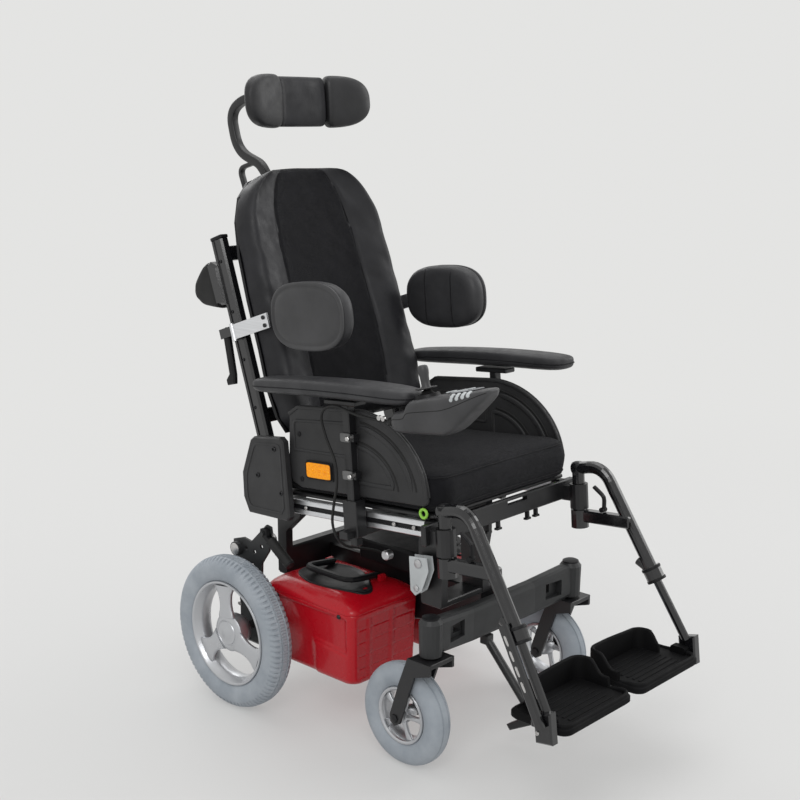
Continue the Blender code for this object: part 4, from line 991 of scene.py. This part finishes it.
POD = W @ Matrix.Translation((-0.226, -0.494, 0.714))
TOP = POD @ Matrix.Translation((0, 0, 0.0025)) @ Matrix.Rotation(math.radians(-14), 4, "X")
# along the pod: place, underside, top and half width
POD_STATIONS = mm([(65.5, -62.5, -39.5, 20), (64, -65, -35, 26), (56, -68, -28.5, 30), (40, -67, -25, 31.8),
                   (29, -65.8, -20, 32.5), (24.5, -65, -8, 32.8), (19, -64.5, -3, 33), (0, -62.5, 2.5, 33),
                   (-30, -59, 10, 33), (-55, -56, 16.2, 32.5), (-74, -45.5, 21, 31.8), (-90, -31, 24.9, 31),
                   (-106, -15.5, 28.9, 30), (-120, -1.8, 32.5, 28.2), (-133, 11, 35.5, 25),
                   (-141, 19.5, 37, 21.2), (-146, 26, 37.2, 16), (-148.5, 30.5, 35, 8)])


def pod_section(y, low, high, half):
    """Cross section of the pod: flat crowned top, full cheeks and a narrower belly."""
    out = []
    for u, v in superellipse(1.0, 1.0, 0.42, 44):
        belly = 1 - 0.16 * max(0.0, -v) ** 1.5
        out.append((u * half * belly, y, (low + high) / 2 + v * (high - low) / 2))
    return out


def build_joystick():
    """Pod with its seam, the stick with its gaiter and collar, keypad, keys, lamps, plug and clamp screws."""
    dense = []
    for a, b in zip(POD_STATIONS, POD_STATIONS[1:]):
        dense += [[p + (q - p) * k / 4 for p, q in zip(a, b)] for k in range(4)]
    dense.append(list(POD_STATIONS[-1]))
    smooth = [dense[0]]
    for rows in zip(dense, dense[1:], dense[2:]):
        smooth.append([sum(column) / 3 for column in zip(*rows)])
    smooth.append(dense[-1])
    bm = loft(bmesh.new(), [pod_section(*row) for row in smooth])
    ob = as_object("joystick_housing", placed(bm, POD), "armrest_R", "pod_plastic", 0)
    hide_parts("joystick_pod")
    bm = bmesh.new()
    for s in (-1, 1):
        line = [(s * half * 0.985, y, (low + high) / 2 + 0.3 * (high - low) / 2)
                for y, low, high, half in smooth[2:-5]]
        tube(bm, line, circle(0.0009, 8))
    as_object("joystick_housing_seam", placed(bm, POD), "armrest_R", "black_rubber")
    bm = bmesh.new()
    profile = [(0.0042, 0.0035)]
    for k in range(4):
        r, h = 0.0136 - 0.0019 * k, 0.0046 + 0.0021 * k
        profile += [(r, h), (r - 0.0004, h + 0.001), (r - 0.0024, h + 0.0017)]
    profile += [(0.004, 0.0126), (0.004, 0.005)]
    spin(bm, profile, 40, "Z")
    as_object("joystick_gaiter", placed(bm, TOP), "joystick_stick", "black_rubber", 50)
    stick = mm([(0, 56.2), (4.4, 56), (7.6, 54.8), (9.2, 52), (9.7, 47), (9.2, 41), (8.2, 36), (7.8, 29),
                (7.8, 20), (9.6, 16.5), (16, 15.6), (18.8, 16.8), (19.7, 16), (19, 14.6), (15, 13.4), (5, 13),
                (3.6, 12), (3.6, -10.4), (0, -10.4)])
    bm = spin(bmesh.new(), stick, 48, "Z")
    ob = as_object("joystick_knob", placed(bm, TOP), "joystick_stick", "pod_plastic", 50)
    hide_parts("joystick_stick")
    bm = spin(bmesh.new(), mm([(17, 5.8), (20.5, 5.8), (22.2, 4.6), (22.6, 2), (24, -1), (17, -1)]), 56, "Z")
    as_object("joystick_collar", placed(bm, TOP), "armrest_R", "black_plastic")
    bm = slab(bmesh.new(), superellipse(0.0195, 0.0265, 0.36, 48, (0, -0.093)), 0.0008, 0.0026, "Z")
    soften(as_object("joystick_keypad", placed(bm, TOP), "armrest_R", "key_silicone", 30), 0.0009)
    bm = bmesh.new()
    for x, y, rx, ry in ((-0.01, -0.08, 0.0066, 0.0052), (-0.01, -0.0945, 0.0066, 0.0052),
                         (0.01, -0.0945, 0.0066, 0.0052), (0.0, -0.057, 0.013, 0.0034)):
        slab(bm, superellipse(rx, ry, 0.5, 28, (x, y)), 0.0022, 0.0042, "Z")
    bm.transform(POD.inverted() @ TOP)
    for y, low, high, half in ((-0.079, -0.041, 0.0222, 0.0315), (-0.091, -0.03, 0.0251, 0.0309),
                               (-0.103, -0.0184, 0.0281, 0.0302), (-0.114, -0.0076, 0.0309, 0.029)):
        for a in (26, 44, 62):
            u, v = math.cos(math.radians(a)) ** 0.42, math.sin(math.radians(a)) ** 0.42
            tall = (high - low) / 2
            key = spin(bmesh.new(), mm([(0, 1.6), (2.8, 1.4), (3.8, 0.6), (4, -1), (0, -1)]), 20, "Z")
            lean = math.atan2(-(u ** 3.76) / half, v ** 3.76 / tall)
            place = Matrix.Translation((-half * u, y, (low + high) / 2 + tall * v))
            key.transform(place @ Matrix.Rotation(lean, 4, "Y"))
            merge(bm, key)
    soften(as_object("joystick_keys", placed(bm, POD), "armrest_R", "clear_plastic", 30), 0.0006)
    bm = bmesh.new()
    for k in range(5):
        slab(bm, superellipse(0.0019, 0.0019, 0.7, 16, (-0.012 + 0.006 * k, -0.108)), 0.0022, 0.0034, "Z")
    as_object("joystick_lamps", placed(bm, TOP), "armrest_R", "key_silicone", 30)
    plug = mm([(0, 20.5), (6.6, 20.5), (7.8, 19), (7.8, 12), (6.8, 11), (6.8, 4), (4.6, 0), (0, 0)])
    bm = spin(bmesh.new(), plug, 28, "Y", (-0.0135, 0.059, -0.052))
    as_object("joystick_connector", placed(bm, POD), "armrest_R", "black_rubber")
    head = mm([(0, 6), (3.6, 6), (4.6, 4.8), (4.6, 0), (0, 0)])
    bm = turned(head, 24, [(-0.0205, y, -0.048) for y in (0.09, 0.1)])
    as_object("pod_clamp_screws", placed(bm, POD), "armrest_R", "bolt")


LENS_AT, CLAMP_LEVELS = (-0.203, 0.082), (0.088, 0.16)


def panel_arc(x, share, a0, a1, steps=26):
    """Arc on the side panel, concentric with its round front edge, between two angles in degrees."""
    angles = [math.radians(a0 + (a1 - a0) * k / steps) for k in range(steps + 1)]
    return [(x, -0.3 - 0.182 * share * math.sin(a), 0.055 + 0.155 * share * math.cos(a)) for a in angles]


def build_side_panels():
    """Raised rim, arcs, two framed fields and dark strips of painted shade in the grooves on both faces of
    each side panel, and its reflector.
    """
    for tag in "RL":
        for where, x in (("outer", 0.2053), ("inner", 0.1987)):
            bm = bmesh.new()
            rim = [(x, -0.124, 0.188), (x, -0.15, 0.203), (x, -0.3, 0.207)] + panel_arc(x, 0.985, 4, 88)[1:]
            tube(bm, rim, superellipse(0.0024, 0.0036, 0.6, 12))
            arc = superellipse(0.0026, 0.0056, 0.6, 12)
            tube(bm, panel_arc(x, 0.8, 6, 84), arc, scale=lambda t: min(1, 0.25 + 6 * t, 0.25 + 6 * (1 - t)))
            field = panel_arc(x, 0.55, 4, 80) + [(x, -0.306, 0.07)]
            tube(bm, field, superellipse(0.0024, 0.0044, 0.6, 12), close=True)
            frame_line = rounded_path([(x, -0.136, 0.118), (x, -0.136, 0.176), (x, -0.29, 0.182),
                                       (x, -0.29, 0.118), (x, -0.136, 0.112)], 0.01, 5)[:-1]
            tube(bm, frame_line, superellipse(0.002, 0.0028, 0.6, 12), close=True)
            put(f"panel_relief_{where}_*", tag, bm, SEAT, "armrest_*", "grey_plastic", 50)
            # Black strips along the grooves: painted shade in the grooves of the grey panel.
            bm = bmesh.new()
            for share in (0.86, 0.61):
                tube(bm, panel_arc(x, share, 8, 84), superellipse(0.0012, 0.0022, 0.7, 10))
            put(f"panel_groove_{where}_*", tag, bm, SEAT, "armrest_*", "black_rubber", 50)
        bm = slab(bmesh.new(), superellipse(0.0335, 0.015, 0.22, 56, LENS_AT), 0.2086, 0.2112)
        soften(put("reflector_*", tag, bm, SEAT, "armrest_*", "amber", 30), 0.0008)
        pip = mm([(0, 212.4), (2.2, 212.1), (3, 211), (0, 211)])
        bm = turned(pip, 20, [(0, LENS_AT[0] + u, LENS_AT[1]) for u in (-0.017, 0.0, 0.017)])
        put("reflector_pips_*", tag, bm, SEAT, "armrest_*", "amber")
        bm = bmesh.new()
        bezel = [(0.2098, y, z) for y, z in superellipse(0.035, 0.0165, 0.22, 72, LENS_AT)]
        tube(bm, bezel, circle(0.0016, 8), close=True)
        for y, z in ((-0.15, 0.15), (-0.276, 0.15), (-0.15, 0.06)):
            head = mm([(0, 207.8), (4, 207.6), (5.2, 206.6), (5.2, 205), (0, 205)])
            spin(bm, head, 24, "X", (0, y, z))
        put("panel_trim_*", tag, bm, SEAT, "armrest_*", "black_plastic")
        nut = mm([(0, 11.5), (4.2, 11.3), (5.2, 10), (5.2, 0), (0, 0)])
        bm = turned(nut, 6, [(ARM_X, -0.3155, z) for z in CLAMP_LEVELS])
        put("post_clamp_screws_*", tag, bm, SEAT, "armrest_*", "bolt", 30)
        bm = bmesh.new()
        for z in CLAMP_LEVELS:
            slab(bm, superellipse(0.0125, 0.0085, 0.3, 28, (-0.303, z)), ARM_X, 0.23)
        soften(put("post_clamp_plates_*", tag, bm, SEAT, "armrest_*", "clamp_grey", 30), 0.001)
        bm = bmesh.new()
        ring = [(0.1985, u - 0.464, v + 0.029) for u, v in circle(0.008, 40)]
        tube(bm, ring, circle(0.0028, 12), close=True)
        put("release_ring_*", tag, bm, SEAT, "chassis", "green_tag", 50)


# ---------------------------------------------------------------- footplates
FOOT_X0, FOOT_X1, FOOT_Y0, FOOT_Y1, FOOT_Z = 0.01, 0.216, -0.8, -0.672, 0.18
FOOT_HINGE_Y, FOOT_HINGE_Z = -0.757, 0.199


def wall_piece(bm, path, heights, thickness, base):
    """Upright moulded rim along a path, its height changing from point to point."""
    rings, n = [], len(path)
    for k, (x, y) in enumerate(path):
        (ax, ay), (bx, by) = path[max(k - 1, 0)], path[min(k + 1, n - 1)]
        tx, ty = bx - ax, by - ay
        length = math.hypot(tx, ty)
        nx, ny = -ty / length, tx / length
        h, w = heights[k], thickness / 2
        section = [(-w, 0), (w, 0), (w, h - w), (w * 0.7, h - w * 0.3), (0, h), (-w * 0.7, h - w * 0.3),
                   (-w, h - w)]
        rings.append([(x + nx * a, y + ny * a, base + b) for a, b in section])
    return loft(bm, rings)


def build_footplates():
    """Trays with ribs, a raised heel wall, a low lip and the hinge tab, and the pivot bolt of each."""
    x0, x1, y0, y1, z = FOOT_X0, FOOT_X1, FOOT_Y0, FOOT_Y1, FOOT_Z
    xm, ym, w, d = (x0 + x1) / 2, (y0 + y1) / 2, (x1 - x0) / 2, (y1 - y0) / 2
    for tag in "RL":
        bm = bmesh.new()
        rings = []
        for inset, dz in ((0.01, -0.0085), (0.003, -0.008), (0.0, -0.005), (0.0, 0.003), (0.003, 0.0062),
                          (0.0075, 0.0064), (0.0095, 0.004), (0.014, 0.0036), (0.04, 0.0036), (0.06, 0.0036)):
            outline = rounded_rect(w - inset, d - inset, max(0.02 - inset * 0.4, 0.004), 0.0, 22, 8)
            rings.append([(xm + x, ym + y, z + dz) for x, y in outline])
        loft(bm, rings)
        for k in range(7):
            y = y0 + 0.026 + 0.0125 * k
            rib = [(xm - 0.07, y, z + 0.0038), (xm + 0.06, y, z + 0.0038)]
            tube(bm, rib, superellipse(0.0012, 0.0028, 0.7, 12), (0, 0, 1))
        path = rounded_path([(x1 - 0.034, y1 - 0.056, 0), (x1 - 0.034, y1 - 0.006, 0),
                             (x0 + 0.006, y1 - 0.006, 0), (x0 + 0.006, y1 - 0.076, 0)], 0.026, 10)
        dense = []
        for a, b in zip(path, path[1:]):
            m = max(1, int((b - a).length / 0.006))
            dense += [a.lerp(b, i / m) for i in range(m)]
        dense = [(p.x, p.y) for p in dense + [path[-1]]]
        heights = []
        for x, y in dense:
            back = step(y, y1 - 0.048, 0.03)
            inner = step(0.12, x, 0.11)
            heights.append(0.014 + 0.036 * back * (0.86 + 0.14 * inner) + 0.01 * (1 - back) * inner)
        wall_piece(bm, dense, heights, 0.0075, z)
        lip = rounded_path([(x1 - 0.006, y1 - 0.03, 0), (x1 - 0.006, y0 + 0.006, 0),
                            (x0 + 0.006, y0 + 0.006, 0), (x0 + 0.006, y1 - 0.07, 0)], 0.02, 8)
        lip = [(q.x, q.y) for q in lip]
        wall_piece(bm, lip, [0.012 - 0.006 * (k in (0, len(lip) - 1)) for k in range(len(lip))], 0.0075, z)
        slab(bm, superellipse(0.016, 0.012, 0.3, 32, (FOOT_HINGE_Y, 0.1855)), x1 - 0.014, x1 + 0.002)
        ob = put("foot_tray_*", tag, bm, W, "footplate_*", "foot_black", 45)
        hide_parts(f"footplate_{tag}")
        bolt = mm([(0, 230), (5, 230), (6.6, 228.4), (6.6, 220), (0, 220)])
        bm = turned(bolt, 6, [(0, FOOT_HINGE_Y, FOOT_HINGE_Z)])
        put("footplate_pivot_bolt_*", tag, bm, W, "legrest_lower_*", "bolt", 30)


# ---------------------------------------------------------------- fasteners and trim of the frame
def cap_screws(radius, height, places):
    """Round heads with sockets on a face that looks along +X."""
    head = [(0, 0.0), (radius, 0.0), (radius, height * 0.75), (radius * 0.85, height)]
    head += [(radius * 0.5, height), (radius * 0.5, height * 0.35), (0, height * 0.35)]
    return turned(head, 20, places)


def grip_scale(t):
    """Ribs along the freewheel grip, and its round end."""
    return (1 - (2 * max(0.0, t - 0.93) / 0.14) ** 2) ** 0.5 * (1.0 - 0.05 * (math.sin(t * 40) > 0))


def build_frame_details():
    """Screws, end caps, inserts, grips and cooling fins that the frame's own pieces don't carry."""
    for tag in "RL":
        bm = cap_screws(0.004, 0.0035, [(0.1995, y, 0.0) for y in (-0.06, -0.15, -0.39, -0.44)])
        put("rail_screws_*", tag, bm, SEAT, "chassis", "bolt")
        bm = slab(bmesh.new(), superellipse(0.012, 0.0165, 0.3, 40, (-0.477, 0)), 0.18, 0.201)
        soften(put("rail_end_cap_*", tag, bm, SEAT, "chassis", "black_plastic", 30), 0.0015)
        bm = slab(bmesh.new(), mm([(-470, -4.4), (-62, -4.4), (-62, 4.4), (-470, 4.4)]), 0.1936, 0.1972)
        put("rail_insert_*", tag, bm, SEAT, "chassis", "black_plastic", 30)
        places = [(0.2255, y, z) for y, z in ((-0.108, 0.03), (-0.04, 0.06), (-0.095, 0.118))]
        bm = cap_screws(0.0052, 0.003, places)
        put("hinge_cover_screws_*", tag, bm, SEAT, "chassis", "dark_bolt")
        bm = bmesh.new()
        line = rounded_path(mm([(226.2, -112, 0), (226.2, -112, 128), (226.2, -36, 124), (226.2, -4, 58),
                                (226.2, -2, 12), (226.2, -10, -8), (226.2, -104, -12)]), 0.012, 5)
        tube(bm, line, superellipse(0.001, 0.0022, 0.6, 12), close=True)
        put("hinge_cover_relief_*", tag, bm, SEAT, "chassis", "grey_plastic", 50)
        bm = cap_screws(0.0036, 0.0022, [(0.1944, 0.02, z) for z in (0.15, 0.25, 0.35, 0.455)])
        put("back_tube_screws_*", tag, bm, BACK, "backrest", "dark_bolt")
        bm = slab(bmesh.new(), superellipse(0.0108, 0.0185, 0.3, 40, (0.184, 0.02)), 0.5005, 0.5075, "Z")
        soften(put("back_tube_cap_*", tag, bm, BACK, "backrest", "black_plastic", 30), 0.0015)
        bm = bmesh.new()
        for y, z, top, rim in ((-0.07, 0.36, 0.2225, 0.2215), (0.036, 0.318, 0.2352, 0.2338)):
            cap = [(0, top), (0.0105, top), (0.0125, rim), (0.0125, 0.22), (0, 0.22)]
            spin(bm, cap, 32, "X", (0, y, z))
        put("brake_release_caps_*", tag, bm, W, "chassis", "bolt")
        bm = bmesh.new()
        grip = [Vector((0.2295, -0.074, 0.3592)).lerp(Vector((0.2295, -0.1335, 0.319)), k / 14)
                for k in range(15)]
        tube(bm, grip, circle(0.0108, 24), scale=grip_scale)
        put("freewheel_grip_*", tag, bm, W, "freewheel_*", "black_rubber")
        bm = bmesh.new()
        for k in range(9):
            x = 0.052 + 0.013 * k
            fin = [(0.035, x), (0.0385, x + 0.0015), (0.0385, x + 0.006), (0.035, x + 0.0075)]
            spin(bm, fin, 40, "X", (0, 0.008, 0.162))
        put("motor_fins_*", tag, bm, W, "chassis", "cast_grey")
        places = [(0.2215, -0.028, 0.124), (0.2215, 0.036, 0.124), (0.2215, -0.028, 0.196),
                  (0.2215, 0.036, 0.196)]
        bm = cap_screws(0.0048, 0.004, places)
        put("gearbox_screws_*", tag, bm, W, "chassis", "bolt")


def build_push_grips():
    """Ribbed rubber sleeve over each push handle of the back frame."""
    outline = mm([(52, 366), (74, 373.5), (102, 384.5), (118.5, 404), (119.5, 414), (112, 432), (94, 445.5),
                  (74, 458.5), (54, 463)])
    loop = [Vector((*p, 0)) for p in outline]
    loop = rounded_path(loop + loop[:1], 0.008, 4)[:-1]
    middle = Vector((0.084, 0.414, 0))
    for tag in "RL":
        rings = []
        for k in range(41):
            t = 2 * k / 40 - 1
            share = (1 - abs(t) ** 3.2) ** 0.42 if abs(t) < 1 else 0.02
            rib = 1 - 0.02 * (0.5 + 0.5 * math.cos(t * 8 * math.pi)) * (abs(t) < 0.8)
            grown = [middle + (p - middle) * (0.72 + 0.32 * share) * rib for p in loop]
            rings.append([(0.184 + 0.0185 * t, p.x, p.y) for p in grown])
        put("push_grip_*", tag, loft(bmesh.new(), rings), BACK, "backrest", "black_rubber", 0)


def build_link():
    """Bright link and its pins behind a clear guard, on the right front upright only."""
    bm = bmesh.new()
    guard = mm([(-404, 392), (-448, 398), (-452, 372), (-436, 330), (-420, 318), (-408, 326)])
    for x in (0.159, 0.1745):
        slab(bm, guard, x, x + 0.0025)
    soften(as_object("link_guard", placed(bm, W, -1), "chassis", "clear_plastic", 30), 0.0008)
    bm = bmesh.new()
    pin = mm([(0, 156.5), (8.5, 156.5), (8.5, 179.5), (6, 181), (0, 181)])
    spin(bm, pin, 32, "X", (0, -0.428, 0.383))
    pin = mm([(0, 156.5), (6, 156.5), (6, 179), (4.5, 180.2), (0, 180.2)])
    spin(bm, pin, 32, "X", (0, -0.424, 0.334))
    tube(bm, [(0.1678, -0.424, 0.334), (0.1678, -0.427, 0.372)], circle(0.0052, 24))
    tube(bm, [(0.1678, -0.4264, 0.356), (0.1678, -0.4272, 0.376)], circle(0.0078, 24))
    pin = mm([(0, 150.5), (9.5, 150.5), (9.5, 164), (7.2, 166), (0, 166)])
    spin(bm, pin, 32, "X", (0, -0.33, 0.372))
    as_object("link_rod_and_pins", placed(bm, W, -1), "chassis", "zinc")


def build_leg_details():
    """Bands and post cap of each hanger, ankle screws, and the row of slots in the right length stay."""
    collar, ankle = Vector((0.2115, -0.691, 0.328)), Vector((0.2205, -0.761, 0.213))
    shin = (ankle - collar).normalized()
    for tag, side in SIDES:
        bm = bmesh.new()
        for t in (-0.01, 0.014):
            p = collar + shin * t
            tube(bm, [p - shin * 0.0028, p + shin * 0.0028], circle(0.0192, 36))
        soften(put("shin_bands_*", tag, bm, W, "legrest_*", "black_plastic"), 0.001)
        bm = spin(bmesh.new(), mm([(0, 54), (8, 54), (11, 52.4), (12.8, 49), (12.8, 44), (0, 44)]), 32, "Z",
                  (0.202, -0.518, 0))
        put("post_top_cap_*", tag, bm, SEAT, "legrest_*", "black_plastic")
        bm = cap_screws(0.0042, 0.0032, [(0.238, FOOT_HINGE_Y, z) for z in (FOOT_HINGE_Z, 0.178)])
        put("ankle_screws_*", tag, bm, W, "legrest_lower_*", "bolt")
        if side < 0:
            bm = bmesh.new()
            out = Vector((0.025, 0.004, 0.002))
            for k in range(4):
                p = collar + out + shin * (0.006 + 0.027 * k)
                ends = [p + Vector((0.0052, 0, 0)), p + Vector((0.0062, 0, 0))]
                tube(bm, ends, superellipse(0.0095, 0.0026, 0.7, 20), shin)
            as_object("stay_slots_R", placed(bm, W, side), "legrest_lower_R", "bolt")


# ---------------------------------------------------------------- CAD nodes that stay
KEPT = {"chassis_frame": ("black_steel", 0.0015), "front_beam": ("cast_grey", 0.003),
        "motor_*": ("cast_grey", 0.002), "battery_handle_*": ("black_plastic", 0.002),
        "controller_box": ("black_plastic", 0.002), "seat_rail_*": ("aluminium", 0.001),
        "seat_pan": ("black_steel", 0.001), "front_cross_rail": ("black_steel", 0.001),
        "arm_receiver": ("black_steel", 0.001), "arm_post_*": ("black_steel", 0.0015),
        "side_panel_*": ("grey_plastic", 0.0015), "joystick_gimbal": ("zinc", 0.0005),
        "power_button": ("key_silicone", 0.0008), "hinge_cover_*": ("grey_plastic", 0.003),
        "back_frame": ("gloss_tube", 0.0025), "back_shell": ("black_plastic", 0.002),
        "recline_lever": ("black_plastic", 0.0015), "lateral_arm_*": ("aluminium", 0.0008),
        "castor_fork_*": ("black_steel", 0.0015), "freewheel_lever_*": ("black_plastic", 0.001),
        "kerb_climber": ("black_steel", 0.002), "latch_lever_*": ("black_plastic", 0.001),
        "legrest_hanger_*": ("gloss_tube", 0.002), "legrest_lower_*": ("gloss_tube", 0.0015),}


def finish_cad_nodes():
    for pattern, (material, width) in KEPT.items():
        # a pattern with a star names the right and the left piece, one without it a single piece
        for name in dict.fromkeys(pattern.replace("*", tag) for tag in "RL"):
            ob = NODES[name]
            ob.data.materials.clear()
            ob.data.materials.append(MATS[material])
            ob.data.shade_smooth()
            ob.data.set_sharp_from_angle(angle=math.radians(35))
            soften(ob, width, 35)


def main():
    set_camera()
    build_cable()
    set_stage()
    finish_cad_nodes()
    build_wheels()
    build_battery_boxes()
    build_seat_cushion()
    build_back_cushion()
    build_headrest()
    build_headrest_bar()
    build_laterals()
    build_arm_pads()
    build_joystick()
    build_side_panels()
    build_footplates()
    build_frame_details()
    build_push_grips()
    build_link()
    build_leg_details()


main()
